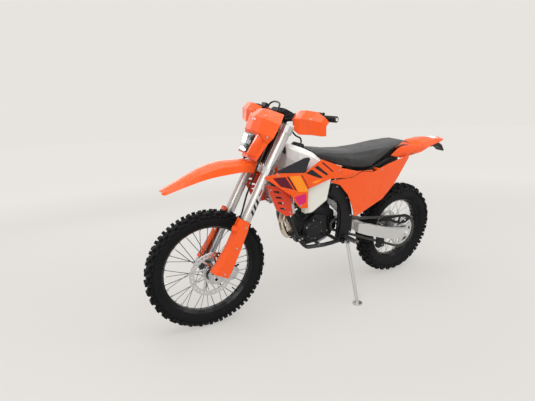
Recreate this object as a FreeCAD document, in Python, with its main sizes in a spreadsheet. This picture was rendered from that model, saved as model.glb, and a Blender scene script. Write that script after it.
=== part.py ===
import FreeCAD, Part
import math
import os

import Sketcher
from FreeCAD import Placement, Rotation, Vector

# Enduro dirt bike, standing as it parks: leaning to the left on its side stand.
# Millimetres. +X is the way it travels, +Y its left side, +Z up, the floor at zero.
#
# Pieces are drawn upright in one of these frames, and each piece's Placement puts it in the world:
#   chassis  x forward, y left, z up, from a datum on the ground below the rear axle
#   yoke     n forward, y left, s up along the steering axis, which turns with the bar
#   leg      the same directions, its height counted from the front axle
#   wheels   y along the axle, from the wheel's centre

os.makedirs("parts", exist_ok=True)
doc = FreeCAD.newDocument("enduro_bike")
sheet = doc.addObject("Spreadsheet::Sheet", "sizes")

SIZES = {
    # stance
    "lean_angle": 7.98,
    "steer_rest_angle": -2.57,
    "origin_ahead": 717.4,
    "origin_left": 160.6,
    # chassis
    "pivot_ahead": 585.0,
    "pivot_up": 478.0,
    "swingarm_reach": 601.0,
    "swingarm_droop": 13.27,
    "head_low_ahead": 1141.1,
    "head_low_up": 928.9,
    "rake_angle": 26.1,
    "head_tube_span": 190.0,
    "head_tube_radius": 28.0,
    "stem_radius": 15.0,
    "stem_gap": 1.0,
    "downtube_radius": 20.0,
    "cradle_radius": 13.0,
    "cradle_half_width": 88.0,
    "spar_radius": 17.0,
    "spar_half_width": 78.0,
    "plate_inner": 97.0,
    "plate_wall": 13.0,
    "pivot_bolt_radius": 9.0,
    "seat_gap": 0.3,
    "tank_gap": 4.0,
    "soft_gap": 0.5,
    "heat_gap": 6.0,
    "radiator_inner": 84.0,
    "radiator_outer": 142.2,
    "bore_gap": 0.5,
    # front end
    "axle_lead": 56.0,
    "fork_reach": 672.0,
    "fork_ahead": 22.0,
    "fork_half_spacing": 106.0,
    "outer_tube_radius": 29.0,
    "inner_tube_radius": 24.0,
    "outer_tube_foot": 345.0,
    "upper_clamp_up": 857.0,
    "lower_clamp_up": 622.0,
    "clamp_height": 48.0,
    "front_axle_radius": 13.0,
    "front_axle_bore": 9.0,
    "front_axle_half_length": 136.0,
    "bar_rise": 83.0,
    "bar_radius": 11.1,
    "bar_bore": 8.6,
    "bar_bore_length": 60.0,
    "bar_half_width": 398.0,
    "grip_radius": 15.5,
    "grip_length": 118.0,
    # wheels
    "front_tyre_radius": 352.0,
    "front_tyre_half_width": 45.0,
    "front_seat_radius": 270.0,
    "front_rim_half_width": 26.0,
    "rear_tyre_radius": 342.0,
    "rear_tyre_half_width": 67.0,
    "rear_seat_radius": 231.0,
    "rear_rim_half_width": 34.0,
    "front_tyre_rows": 32.0,
    "rear_tyre_rows": 28.0,
    "front_lug": 12.0,
    "rear_lug": 14.0,
    "front_block_gap": 0.0,
    "rear_block_gap": 9.0,
    "rim_flange": 13.0,
    "rim_depth": 18.0,
    "rim_well": 7.0,
    "spoke_radius": 2.0,
    "spoke_count": 36.0,
    "spoke_swing": 46.5,
    "flange_wall": 11.0,
    "flange_lip": 4.0,
    "front_flange_radius": 36.0,
    "rear_flange_radius": 44.0,
    "front_hub_half_width": 40.0,
    "rear_hub_half_width": 52.0,
    "front_disc_radius": 130.0,
    "rear_disc_radius": 110.0,
    "disc_wall": 3.0,
    "disc_ring": 26.0,
    "front_disc_seat": 38.5,
    "rear_disc_seat": 40.5,
    "sprocket_seat": 46.5,
    "tooth_gap": 2.0,
    "tooth_height": 7.0,
    "disc_waves": 12.0,
    "disc_wave_depth": 3.5,
    "front_disc_left": 66.0,
    "rear_disc_right": 72.0,
    "pad_gap": 3.0,
    "rear_axle_radius": 10.0,
    "rear_axle_half_length": 140.0,
    # drive
    "chain_left": 84.0,
    "chain_half_width": 8.0,
    "chain_half_height": 8.0,
    "chain_links": 100.0,
    "link_step": 2.5,
    "rear_sprocket_radius": 118.0,
    "spring_coils": 7.0,
    "rear_sprocket_wall": 6.0,
    "rear_sprocket_teeth": 50.0,
    "front_sprocket_radius": 34.0,
    "front_sprocket_ahead": 655.0,
    "front_sprocket_up": 505.0,
    # panels
    "cap_radius": 40.0,
    "cap_height": 30.0,
    "panel_wall": 4.0,
    "fender_wall": 4.0,
    # stand
    "stand_pivot_ahead": 580.0,
    "stand_pivot_up": 395.0,
    "stand_pivot_left": 140.0,
    "stand_foot_back": -26.0,
    "stand_foot_left": 175.0,
    "pin_radius": 7.0,
    "stand_tube_radius": 11.0,
    "stand_foot_radius": 30.0,
    "stand_foot_wall": 8.0,
}
for row, (alias, size) in enumerate(SIZES.items(), start=1):
    sheet.set(f"A{row}", alias)
    sheet.set(f"B{row}", str(size))
    sheet.setAlias(f"B{row}", alias)
doc.recompute()


class Size:
    """A length from the sheet: its number, and the formula that binds a feature to it."""

    def __init__(self, number, formula):
        self.number = float(number)
        self.formula = formula

    def __float__(self):
        return self.number

    def __add__(self, other):
        return Size(self.number + float(other), f"({self.formula} + {formula_of(other)})")

    def __radd__(self, other):
        return Size(float(other) + self.number, f"({formula_of(other)} + {self.formula})")

    def __sub__(self, other):
        return Size(self.number - float(other), f"({self.formula} - {formula_of(other)})")

    def __rsub__(self, other):
        return Size(float(other) - self.number, f"({formula_of(other)} - {self.formula})")

    def __mul__(self, other):
        return Size(self.number * float(other), f"({self.formula} * {formula_of(other)})")

    __rmul__ = __mul__

    def __neg__(self):
        return Size(-self.number, f"(-1 * {self.formula})")


def formula_of(value):
    return value.formula if isinstance(value, Size) else repr(float(value))


def size(alias):
    return Size(sheet.get(alias), f"sizes.{alias}")


def bind(obj, **values):
    for prop, value in values.items():
        if isinstance(value, Size):
            obj.setExpression(prop, value.formula)
        else:
            setattr(obj, prop, value)
    return obj


# Frames

UP = Vector(0, 0, 1)
LEFT = Vector(0, 1, 0)
AHEAD = Vector(1, 0, 0)


def turn(axis, degrees, at=Vector(0, 0, 0)):
    return Placement(Vector(0, 0, 0), Rotation(axis, degrees), at)


def shift(x, y, z):
    return Placement(Vector(float(x), float(y), float(z)), Rotation())


RAKE = float(size("rake_angle"))
YOKE_BEARING = 672.0
yoke_base = turn(LEFT, -RAKE)
head_low = Vector(float(size("head_low_ahead")), 0, float(size("head_low_up")))
yoke_origin = head_low - yoke_base.multVec(Vector(0, 0, YOKE_BEARING))
yoke_straight = Placement(yoke_origin, yoke_base.Rotation)
yoke = yoke_straight * turn(UP, float(size("steer_rest_angle")))
axle_up = YOKE_BEARING - float(size("fork_reach"))
leg = yoke * shift(0, 0, axle_up)
front_wheel = leg * shift(size("axle_lead"), 0, 0)
bar_up = float(size("upper_clamp_up") + size("bar_rise"))

droop = math.radians(float(size("swingarm_droop")))
pivot = Vector(float(size("pivot_ahead")), 0, float(size("pivot_up")))
rear_axle_x = pivot.x - float(size("swingarm_reach")) * math.cos(droop)
rear_axle_z = pivot.z - float(size("swingarm_reach")) * math.sin(droop)
rear_wheel = shift(rear_axle_x, 0, rear_axle_z)


def closed_section(half):
    """A whole section from its left half, given from the inner edge to the middle."""
    return half + [(-across, out) for across, out in reversed(half) if across > 0]


def tyre_sections(wheel):
    """The tyre's sections through a row of centre blocks and through a row of shoulder blocks.

    Both share the casing: bead, side wall, the foot of the shoulder blocks and the tread's base."""
    radius = float(size(f"{wheel}_tyre_radius"))
    half_width = float(size(f"{wheel}_tyre_half_width"))
    seat = float(size(f"{wheel}_seat_radius"))
    lug = float(size(f"{wheel}_lug"))
    valley = float(size(f"{wheel}_block_gap")) / 2
    gap = float(size("seat_gap"))
    flange = seat + float(size("rim_flange"))
    bead = float(size(f"{wheel}_rim_half_width")) - 3.0 - gap
    casing = [
        (bead, seat + 3 * gap),
        (bead, flange + 1.0),
        (half_width - 3.0, flange + 0.42 * (radius - flange)),
        (half_width - 6.0, radius - lug - 12.0),
    ]
    base = (0.48 * half_width, radius - lug)
    shoulder = [(half_width, radius - lug - 6.0), (0.60 * half_width, radius - 4.0), base]
    centre = [base, (0.42 * half_width, radius - 0.5)]
    if valley:
        centre += [(valley, radius), (valley, radius - lug)]
    return closed_section(casing + centre), closed_section(casing + shoulder)


def lowest(wheel, placement):
    """The height of a tyre's lowest corner once placed."""
    rows = int(size(f"{wheel}_tyre_rows").number)
    levels = []
    for half_row in range(2 * rows):
        spun = placement * turn(LEFT, 180.0 * half_row / rows)
        for section in tyre_sections(wheel):
            levels += [spun.multVec(Vector(0, across, out)).z for across, out in section]
    return min(levels)


lean = turn(AHEAD, -float(size("lean_angle")))
wheelbase = front_wheel.Base.x - rear_axle_x
pitch = 0.0
for _ in range(6):
    tilted = turn(LEFT, pitch) * lean
    front_low = lowest("front", tilted * front_wheel)
    rear_low = lowest("rear", tilted * rear_wheel)
    pitch += math.degrees((front_low - rear_low) / wheelbase)
world = (
    shift(-size("origin_ahead").number, -size("origin_left").number, -rear_low)
    * turn(LEFT, pitch)
    * lean
)


cockpit = world * yoke * shift(0, 0, bar_up)


# Making shapes

BEND_STEP = 0.5

parts = {}


def keep(obj, label, frame):
    """Name a finished sub-part and put it in the world."""
    obj.Label = label
    doc.recompute()
    obj.Placement = frame
    parts[label] = obj
    return obj


def computed(name, shape):
    """A sub-part or tool whose form comes from lofts, sweeps or panels worked out here."""
    obj = doc.addObject("Part::Feature", name)
    obj.Shape = shape
    return obj


def along(direction):
    return Rotation(UP, direction)


def cylinder(name, radius, length, start, direction=LEFT):
    obj = doc.addObject("Part::Cylinder", name)
    bind(obj, Radius=radius, Height=length)
    obj.Placement = Placement(start, along(direction))
    return obj


def ring_cut(name, outer, hole):
    obj = doc.addObject("Part::Cut", name)
    obj.Base = outer
    obj.Tool = hole
    return obj


def fused(name, pieces):
    obj = doc.addObject("Part::MultiFuse", name)
    obj.Shapes = pieces
    return obj


def stations(points, bend):
    """Places and directions along a path of straight runs joined by tangent arcs.

    bend is one radius, or one for each inner point."""
    points = [Vector(*p) for p in points]
    bends = bend if isinstance(bend, (list, tuple)) else [bend] * (len(points) - 2)
    found = [(points[0], (points[1] - points[0]).normalize())]
    start = points[0]
    for i, radius in enumerate(bends, start=1):
        before, corner, after = points[i - 1], points[i], points[i + 1]
        to_corner = (corner - before).normalize()
        onward = (after - corner).normalize()
        angle = to_corner.getAngle(onward)
        if angle < 1e-3:
            continue
        reach = min((corner - start).Length * 0.98, (after - corner).Length * 0.49)
        cut_back = min(radius * math.tan(angle / 2), reach)
        radius = cut_back / math.tan(angle / 2)
        inward = (onward - to_corner).normalize()
        centre = corner + inward * (radius / math.cos(angle / 2))
        enter = corner - to_corner * cut_back
        normal = to_corner.cross(onward).normalize()
        steps = max(1, math.ceil(angle / BEND_STEP))
        for k in range(steps + 1):
            swing = Rotation(normal, math.degrees(angle) * k / steps)
            found.append((centre + swing.multVec(enter - centre), swing.multVec(to_corner)))
        start = corner + onward * cut_back
    found.append((points[-1], (points[-1] - points[-2]).normalize()))
    return found


def round_section(centre, direction, across, radius, sides):
    """A round section: a true circle, or that many flats across for a long thin tube."""
    over = direction.cross(across)
    if not sides:
        circle = Part.Wire([Part.makeCircle(radius)])
        circle.Placement = Placement(centre, Rotation(across, over, direction, "ZXY"))
        return circle
    corners = []
    for k in range(sides):
        angle = 2 * math.pi * (k + 0.5) / sides
        corners.append(centre + (across * math.cos(angle) + over * math.sin(angle)) * radius)
    return Part.makePolygon(corners + [corners[0]])


def tube(points, radius, bend=60.0, sides=8):
    """A bar or pipe along a bent path, lofted straight from section to section."""
    found = stations(points, bend)
    direction = found[0][1]
    across = direction.cross(LEFT if abs(direction.y) < 0.9 else UP).normalize()
    sections = []
    for centre, direction in found:
        across = (across - direction * across.dot(direction)).normalize()
        sections.append(round_section(centre, direction, across, float(radius), sides))
    return Part.makeLoft(sections, True, True)


def rod(start, end, radius, top_radius=None):
    start, end = Vector(*start), Vector(*end)
    direction = end - start
    if top_radius is None:
        return Part.makeCylinder(float(radius), direction.Length, start, direction)
    return Part.makeCone(float(radius), float(top_radius), direction.Length, start, direction)


def prism(corners, y_from, y_to, round_off=0.0):
    """A plate with its outline in the side view, between two distances to the left."""
    wire = outline([(x, y_from, z) for x, z in corners], round_off)
    return Part.Face(wire).extrude(Vector(0, y_to - y_from, 0))


def outline(points, round_off=0.0):
    """A closed wire through the points, each corner rounded where there is room."""
    points = [Vector(*p) for p in points]
    if not round_off:
        return Part.makePolygon(points + [points[0]])
    edges = []
    ends = []
    count = len(points)
    for i, corner in enumerate(points):
        before, after = points[i - 1], points[(i + 1) % count]
        to_corner = (corner - before).normalize()
        onward = (after - corner).normalize()
        half = to_corner.getAngle(onward) / 2
        room = min((corner - before).Length, (after - corner).Length) * 0.45
        cut_back = min(round_off * math.tan(half), room)
        if half < 0.02 or half > 1.5 or cut_back < 0.05:
            ends.append((corner, corner, None))
            continue
        radius = cut_back / math.tan(half)
        inward = (onward - to_corner).normalize()
        middle = corner + inward * (radius / math.cos(half) - radius)
        ends.append((corner - to_corner * cut_back, corner + onward * cut_back, middle))
    for i, (enter, leave, middle) in enumerate(ends):
        if middle is not None:
            edges.append(Part.Arc(enter, middle, leave).toShape())
        following = ends[(i + 1) % count][0]
        if (following - leave).Length > 1e-6:
            edges.append(Part.LineSegment(leave, following).toShape())
    return Part.Wire(edges)


def curved_wall(plan, z_low, z_high, wall):
    """A wall standing on a plan curve: corners (x, y) along it, the wall thickening outward."""
    outer = []
    for i, (x, y) in enumerate(plan):
        x0, y0 = plan[max(i - 1, 0)]
        x1, y1 = plan[min(i + 1, len(plan) - 1)]
        length = math.hypot(x1 - x0, y1 - y0)
        across = (-(y1 - y0) / length, (x1 - x0) / length)
        flip = 1 if across[1] > 0 else -1
        outer.append((x + across[0] * wall * flip, y + across[1] * wall * flip))
    ring = [(x, y, z_low) for x, y in plan] + [(x, y, z_low) for x, y in reversed(outer)]
    return Part.Face(outline(ring)).extrude(Vector(0, 0, z_high - z_low))


def panel(side_outline, plan, wall, round_off=10.0):
    """A thin cover: its outline from the side view, its bend from the plan view."""
    ys = [y for _, y in plan]
    zs = [z for _, z in side_outline]
    wall_solid = curved_wall(plan, min(zs) - 20, max(zs) + 20, wall)
    cutter = prism(side_outline, min(ys) - 40, max(ys) + 60, round_off)
    return wall_solid.common(cutter)


def mirrored(shape):
    return shape.mirror(Vector(0, 0, 0), LEFT)


def both_sides(shape):
    return Part.makeCompound([shape, mirrored(shape)])


def clean(shape):
    return shape.removeSplitter()


def origin_feature(body, role):
    return next(f for f in body.Origin.OriginFeatures if f.Role == role)


def new_body(name):
    body = doc.addObject("PartDesign::Body", name)
    body.AllowCompound = True
    return body


def dimension(sketch, kind, point, value):
    """Hold one coordinate of a corner, by a number or by a size from the sheet."""
    number = float(value)
    if abs(number) < 1e-9:
        axis = -2 if kind == "DistanceX" else -1
        sketch.addConstraint(Sketcher.Constraint("PointOnObject", point, 1, axis))
        return
    index = sketch.addConstraint(Sketcher.Constraint(kind, -1, 1, point, 1, number))
    if isinstance(value, Size):
        sketch.setExpression(f"Constraints[{index}]", value.formula)


def add_loop(sketch, corners):
    """A closed loop in a sketch, with each corner dimensioned from the origin."""
    first = sketch.GeometryCount
    count = len(corners)
    places = [Vector(float(u), float(v), 0) for u, v in corners]
    for i in range(count):
        sketch.addGeometry(Part.LineSegment(places[i], places[(i + 1) % count]), False)
    for i in range(count):
        onward = first + (i + 1) % count
        sketch.addConstraint(Sketcher.Constraint("Coincident", first + i, 2, onward, 1))
    for i, (across, along_up) in enumerate(corners):
        dimension(sketch, "DistanceX", first + i, across)
        dimension(sketch, "DistanceY", first + i, along_up)


def sketch_on(body, role, offset=0.0):
    """An empty sketch on one of the body's own planes, moved along the plane's normal."""
    sketch = body.newObject("Sketcher::SketchObject", f"{body.Name}_sketch")
    sketch.AttachmentSupport = (origin_feature(body, role), [""])
    sketch.MapMode = "FlatFace"
    sketch.AttachmentOffset = shift(0, 0, offset)
    if isinstance(offset, Size):
        sketch.setExpression("AttachmentOffset.Base.z", offset.formula)
    return sketch


def pad(sketch, length, midplane=False):
    """Thicken a side-view sketch to the left, or to both sides."""
    body = sketch.getParent()
    feature = body.newObject("PartDesign::Pad", f"{body.Name}_pad")
    feature.Profile = sketch
    bind(feature, Length=length)
    feature.Midplane = midplane
    feature.Reversed = not midplane
    return feature


def cut_through(sketch):
    """Cut a side-view sketch right through the body."""
    body = sketch.getParent()
    feature = body.newObject("PartDesign::Pocket", f"{body.Name}_pocket")
    feature.Profile = sketch
    feature.Type = "ThroughAll"
    feature.Midplane = True
    return feature


def turned(sketch):
    """Turn a profile about the sketch's horizontal axis."""
    body = sketch.getParent()
    feature = body.newObject("PartDesign::Revolution", f"{body.Name}_turn")
    feature.Profile = sketch
    feature.ReferenceAxis = (sketch, ["H_Axis"])
    feature.Angle = 360
    return feature


def repeated(feature, count, role="Y_Axis"):
    """Repeat a feature round one of the body's axes."""
    body = feature.getParent()
    pattern = body.newObject("PartDesign::PolarPattern", f"{body.Name}_pattern")
    pattern.Originals = [feature]
    pattern.Axis = (origin_feature(body, role), [""])
    pattern.Angle = 360
    bind(pattern, Occurrences=count)
    body.Tip = pattern
    return pattern


def on_both_sides(*features):
    """The same features again on the bike's other side."""
    body = features[0].getParent()
    mirror = body.newObject("PartDesign::Mirrored", f"{body.Name}_mirror")
    mirror.Originals = list(features)
    mirror.MirrorPlane = (origin_feature(body, "XZ_Plane"), [""])
    body.Tip = mirror
    return mirror


def regular(name, sides, radius, length, start, direction=LEFT, turn_by=0.0):
    """A straight bar with a regular section, such as a spoke or a hub flange."""
    obj = doc.addObject("Part::Prism", name)
    obj.Polygon = sides
    bind(obj, Circumradius=radius, Height=length)
    obj.Placement = Placement(start, along(direction) * Rotation(UP, turn_by))
    return obj


def sewn(faces):
    """A solid from the faces that close it."""
    shell = Part.makeShell(faces)
    shell.sewShape()
    solid = Part.makeSolid(shell)
    if solid.Volume < 0:
        solid.reverse()
    return solid


def sector_ring(sections, angles):
    """A ring of straight sectors about the axle.

    Each sector holds one section, corners (across, out), from its angle to the next one's. Where
    two neighbours differ, flat walls at that angle close the step."""
    faces = []
    count = len(angles)

    def flat(section):
        return Part.Face(outline([(0, across, out) for across, out in section]))

    steps = {}
    for k in range(count):
        here, before = sections[k], sections[k - 1]
        start = Rotation(LEFT, angles[k])
        end = Rotation(LEFT, angles[(k + 1) % count])
        for i, (across, out) in enumerate(here):
            across_next, out_next = here[(i + 1) % len(here)]
            near, far = Vector(0, across, out), Vector(0, across_next, out_next)
            corners = [start.multVec(near), start.multVec(far), end.multVec(far), end.multVec(near)]
            faces.append(Part.Face(Part.makePolygon(corners + [corners[0]])))
        if here is not before:
            key = (id(before), id(here))
            if key not in steps:
                one, other = flat(here), flat(before)
                steps[key] = one.cut(other).Faces + other.cut(one).Faces
            for wall in steps[key]:
                placed = wall.copy()
                placed.rotate(Vector(0, 0, 0), LEFT, angles[k])
                faces.append(placed)
    return sewn(faces)


def facets(sections):
    """A solid through flat closed sections, its sides creased from corner to corner.

    A twisted side is split along its shorter diagonal, so that a skin and its lining stay parallel."""
    rings = [[Vector(*p) for p in section] for section in sections]
    faces = [Part.Face(Part.makePolygon(ring + [ring[0]])) for ring in (rings[0], rings[-1])]
    for ring, onward in zip(rings, rings[1:]):
        for i, corner in enumerate(ring):
            beside = ring[(i + 1) % len(ring)]
            far, far_beside = onward[i], onward[(i + 1) % len(ring)]
            normal = (beside - corner).cross(far - corner)
            flat = abs(normal.dot(far_beside - corner)) < 1e-6 * max(normal.Length, 1e-9)
            if flat:
                patches = [[corner, beside, far_beside, far]]
            elif (far_beside - corner).Length < (far - beside).Length:
                patches = [[corner, beside, far_beside], [corner, far_beside, far]]
            else:
                patches = [[corner, beside, far], [beside, far_beside, far]]
            for patch in patches:
                faces.append(Part.Face(Part.makePolygon(patch + [patch[0]])))
    return sewn(faces)


def polar(out, degrees):
    return (out * math.cos(math.radians(degrees)), out * math.sin(math.radians(degrees)))


def ring_corners(radius):
    """The corners of a hub carrier's edge, where a disc or the sprocket fits round it."""
    sides = int(size("spoke_count").number) // 2
    return [polar(radius, 360.0 * k / sides) for k in range(sides)]


RADIATOR_RODS = ((1036, 720), (1052, 790))

ENGINE_HALF = 50.0

def disc_cover(x, z, start, wall, radius, top_radius, sides=14):
    """A round engine cover with a sloping edge, standing out to the left."""
    rings = []
    for y, r in ((start, radius), (start + wall * 0.5, radius), (start + wall, top_radius)):
        rings.append([(x + r * math.cos(2 * math.pi * k / sides), y, z + r * math.sin(2 * math.pi * k / sides))
                      for k in range(sides)])
    return facets(rings)


def louvred(start, end, count, depth):
    """An edge from start to end with that many notches, cut to the right of the way along it."""
    (x0, z0), (x1, z1) = start, end
    length = math.hypot(x1 - x0, z1 - z0)
    inward = ((z1 - z0) / length * depth, -(x1 - x0) / length * depth)
    points = []
    for k in range(count):
        for step, deep in ((0.35, False), (0.45, True), (0.85, True), (0.95, False)):
            t = (k + step) / count
            x, z = x0 + (x1 - x0) * t, z0 + (z1 - z0) * t
            points.append((x + inward[0], z + inward[1]) if deep else (x, z))
    return points


def link_corners(at, out, left, half_width, half_height):
    """A link's end: the corners inside and outside the loop, on its left and its right."""
    high, low = at + out * half_height, at - out * half_height
    return [
        Vector(low.x, left + half_width, low.z), Vector(high.x, left + half_width, high.z),
        Vector(high.x, left - half_width, high.z), Vector(low.x, left - half_width, low.z),
    ]


def belt_places(rear, front, big, small, count):
    """Even steps along a loop pulled tight round two wheels: each place, and the way out there."""
    span = front - rear
    tilt = math.atan2(span.z, span.x)
    open_angle = math.asin((big - small) / span.Length)
    straight = span.Length * math.cos(open_angle)
    high = tilt + math.pi / 2 - open_angle
    low = tilt - math.pi / 2 + open_angle
    around_front = small * (math.pi - 2 * open_angle)
    around_rear = big * (math.pi + 2 * open_angle)
    total = 2 * straight + around_front + around_rear
    places = []
    for k in range(count):
        way = total * k / count
        if way < straight:
            share = way / straight
            angle, centre, radius = high, rear + (front - rear) * share, big + (small - big) * share
        elif way < straight + around_front:
            angle = high - (way - straight) / small
            centre, radius = front, small
        elif way < 2 * straight + around_front:
            share = (way - straight - around_front) / straight
            angle, centre, radius = low, front + (rear - front) * share, small + (big - small) * share
        else:
            angle = low - (way - 2 * straight - around_front) / big
            centre, radius = rear, big
        out = Vector(math.cos(angle), 0, math.sin(angle))
        places.append((centre + out * radius, out))
    return places


BAR_END = (-35.0, 60.0)

# Wheels


def make_tyre(wheel, frame):
    """A knobby tyre: rows of centre blocks and of shoulder blocks by turns on one casing."""
    centre, shoulder = tyre_sections(wheel)
    rows = int(size(f"{wheel}_tyre_rows").number)
    angles = [180.0 * k / rows for k in range(2 * rows)]
    name = f"{wheel}_tyre"
    keep(computed(name, sector_ring([centre, shoulder] * rows, angles)), name, frame)


def make_rim(name, seat, inner, half_width, frame):
    """A drop-centre rim: well, bead seats and flanges, in one flat for each spoke."""
    flange = seat + float(size("rim_flange"))
    well = inner + float(size("rim_well"))
    half = [
        (half_width * 0.45, inner),
        (half_width, seat - 4.0),
        (half_width - 1.0, flange),
        (half_width - 3.0, seat),
        (half_width * 0.62, seat),
        (half_width * 0.35, well),
    ]
    section = closed_section(half)
    flats = int(size("spoke_count").number)
    angles = [360.0 / flats * k for k in range(flats)]
    keep(computed(name, sector_ring([section] * flats, angles)), name, frame)


def make_hub(name, half_width, barrel, flange_radius, bore, rim_inner, carriers, frame):
    """A hub: barrel, two spoke flanges, disc and sprocket carriers, and the laced spokes."""
    sides = int(size("spoke_count").number) // 2
    turn_by = 180.0 / sides
    flange = float(size("flange_wall"))
    half = float(half_width)
    pieces = [
        regular(f"{name}_barrel", sides, barrel, half_width * 2 - flange, LEFT * (flange / 2 - half))
    ]
    for side in (1, -1):
        low = half - flange - 3.0 if side > 0 else 3.0 - half
        phase = turn_by * (1.5 if side > 0 else 0.5)
        pieces.append(
            regular(f"{name}_flange", sides, flange_radius + size("flange_lip"), size("flange_wall"),
                    LEFT * low, turn_by=phase)
        )
    for low, high, radius in carriers:
        pieces.append(regular(f"{name}_carrier", sides, radius, high - low, LEFT * low))
    reach = (rim_inner - 3 * float(size("seat_gap"))) * math.cos(math.radians(turn_by / 2))
    pieces += lacing(name, flange_radius, half, reach)
    solid = fused(f"{name}_solid", pieces)
    hole = cylinder(f"{name}_bore", bore, 400, Vector(0, -200, 0))
    keep(ring_cut(name, solid, hole), name, frame)


def make_disc(name, radius, across, hub_radius, frame):
    """A wave-edged brake disc: windows between its arms, and slots through its ring."""
    body = new_body(name)
    wall = size("disc_wall")
    waves = int(size("disc_waves").number)
    blank = sketch_on(body, "XZ_Plane", -across + 0.5 * wall)
    edge = []
    for k in range(3 * waves):
        out = float(radius) - (float(size("disc_wave_depth")) if k % 3 == 0 else 0.0)
        edge.append(polar(out, 120.0 * k / waves))
    add_loop(blank, edge)
    add_loop(blank, ring_corners(hub_radius))
    pad(blank, wall)
    ring = float(radius) - float(size("disc_ring"))
    near = hub_radius + 13.0
    window = sketch_on(body, "XZ_Plane")
    shape = ((near, 16), (ring - 3, 9), (ring, 30), (ring - 3, 51), (near, 44))
    add_loop(window, [polar(out, degrees) for out, degrees in shape])
    repeated(cut_through(window), 6)
    slot = sketch_on(body, "XZ_Plane")
    shape = ((ring + 6, -1.5), (ring + 18, 2.5), (ring + 19, 5.5), (ring + 7, 1.5))
    add_loop(slot, [polar(out, degrees) for out, degrees in shape])
    repeated(cut_through(slot), 6)
    keep(body, name, frame)


def wheels():
    front = world * front_wheel
    rear = world * rear_wheel
    make_tyre("front", front)
    make_tyre("rear", rear)
    front_inner = float(size("front_seat_radius") - size("rim_depth"))
    rear_inner = float(size("rear_seat_radius") - size("rim_depth"))
    make_rim("front_rim", float(size("front_seat_radius")), front_inner,
             float(size("front_rim_half_width")), front)
    make_rim("rear_rim", float(size("rear_seat_radius")), rear_inner,
             float(size("rear_rim_half_width")), rear)
    front_disc = float(size("front_disc_left"))
    seat = float(size("seat_gap"))
    make_hub(
        "front_hub",
        size("front_hub_half_width"),
        24.0,
        size("front_flange_radius"),
        size("front_axle_radius") + size("bore_gap"),
        front_inner,
        [(26.0, front_disc + 5.0, float(size("front_disc_seat")) - seat)],
        front,
    )
    make_disc("front_disc", size("front_disc_radius"), size("front_disc_left"),
              float(size("front_disc_seat")), front)
    chain_left = float(size("chain_left"))
    disc_right = float(size("rear_disc_right"))
    make_hub(
        "rear_hub",
        size("rear_hub_half_width"),
        34.0,
        size("rear_flange_radius"),
        size("rear_axle_radius") + size("bore_gap"),
        rear_inner,
        [(40.0, chain_left + 5.0, float(size("sprocket_seat")) - seat),
         (-disc_right - 5.0, -40.0, float(size("rear_disc_seat")) - seat)],
        rear,
    )
    make_disc("rear_disc", size("rear_disc_radius"), -size("rear_disc_right"),
              float(size("rear_disc_seat")), rear)
    make_sprocket(rear)


def lacing(name, flange_radius, half_width, reach):
    """Tangent spokes: on each flange every other one leads, and the rest trail inside it."""
    made = []
    count = int(size("spoke_count").number)
    pair = 720.0 / count
    swing = float(size("spoke_swing"))
    for side in (1, -1):
        for i in range(count // 2):
            lead = i % 2 == 0
            base = pair * (i + (0.25 if side > 0 else 0.75))
            at_hub = Rotation(LEFT, base - swing if lead else base + swing).multVec(
                Vector(0, side * (half_width - (6.0 if lead else 11.5)), float(flange_radius))
            )
            at_rim = Rotation(LEFT, base).multVec(Vector(0, side * (9.0 if lead else 3.5), reach))
            way = at_rim - at_hub
            made.append(
                regular(f"{name}_spoke", 4, size("spoke_radius"), way.Length, at_hub, way.normalize())
            )
    return made


def make_sprocket(frame):
    """The rear sprocket: a toothed ring on arms, turned by the chain just outside its teeth."""
    body = new_body("rear_sprocket")
    wall = size("rear_sprocket_wall")
    tip = float(size("rear_sprocket_radius") - size("chain_half_height") - size("tooth_gap"))
    root = tip - float(size("tooth_height"))
    centre = float(size("sprocket_seat"))
    teeth = int(size("rear_sprocket_teeth").number)
    blank = sketch_on(body, "XZ_Plane", -size("chain_left") + 0.5 * wall)
    edge = []
    for k in range(2 * teeth):
        angle = math.pi * k / teeth
        out = root if k % 2 else tip
        edge.append((out * math.cos(angle), out * math.sin(angle)))
    add_loop(blank, edge)
    add_loop(blank, ring_corners(centre))
    pad(blank, wall)
    window = sketch_on(body, "XZ_Plane")
    shape = ((centre + 11, -15), (root - 12, -22), (root - 10, 0), (root - 12, 22), (centre + 11, 15))
    add_loop(window, [polar(out, degrees) for out, degrees in shape])
    repeated(cut_through(window), 6)
    keep(body, "rear_sprocket", frame)


# Frame and engine


SHOCK_TOP = (655, 672)
SHOCK_FOOT = (455, 488.4)


def head_tube(extra):
    up = yoke_straight.Rotation.multVec(UP)
    return Part.makeCylinder(
        float(size("head_tube_radius")) + extra, float(size("head_tube_span")) + 2 * extra,
        head_low - up * extra, up,
    )


def frame_downtube(extra):
    return tube(
        [(1112, 0, 960), (1056, 0, 760), (1018, 0, 650)], size("downtube_radius") + extra, 200
    )


def frame_spar(side, extra):
    """One of the two spars from the head tube to the pivot plate."""
    half = float(size("spar_half_width"))
    end = float(size("plate_inner")) - 6
    return tube(
        [(1078, 0, 1040), (1000, side * 46, 985), (880, side * half, 900),
         (720, side * half, 745), (640, side * end, 660)],
        size("spar_radius") + extra, [80, 120, 120],
    )


def tank_rest(extra):
    """The cross tube that the tank's tunnel rests on."""
    return tube([(860, -70, 863), (860, 70, 863)], 8 + extra)


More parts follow.
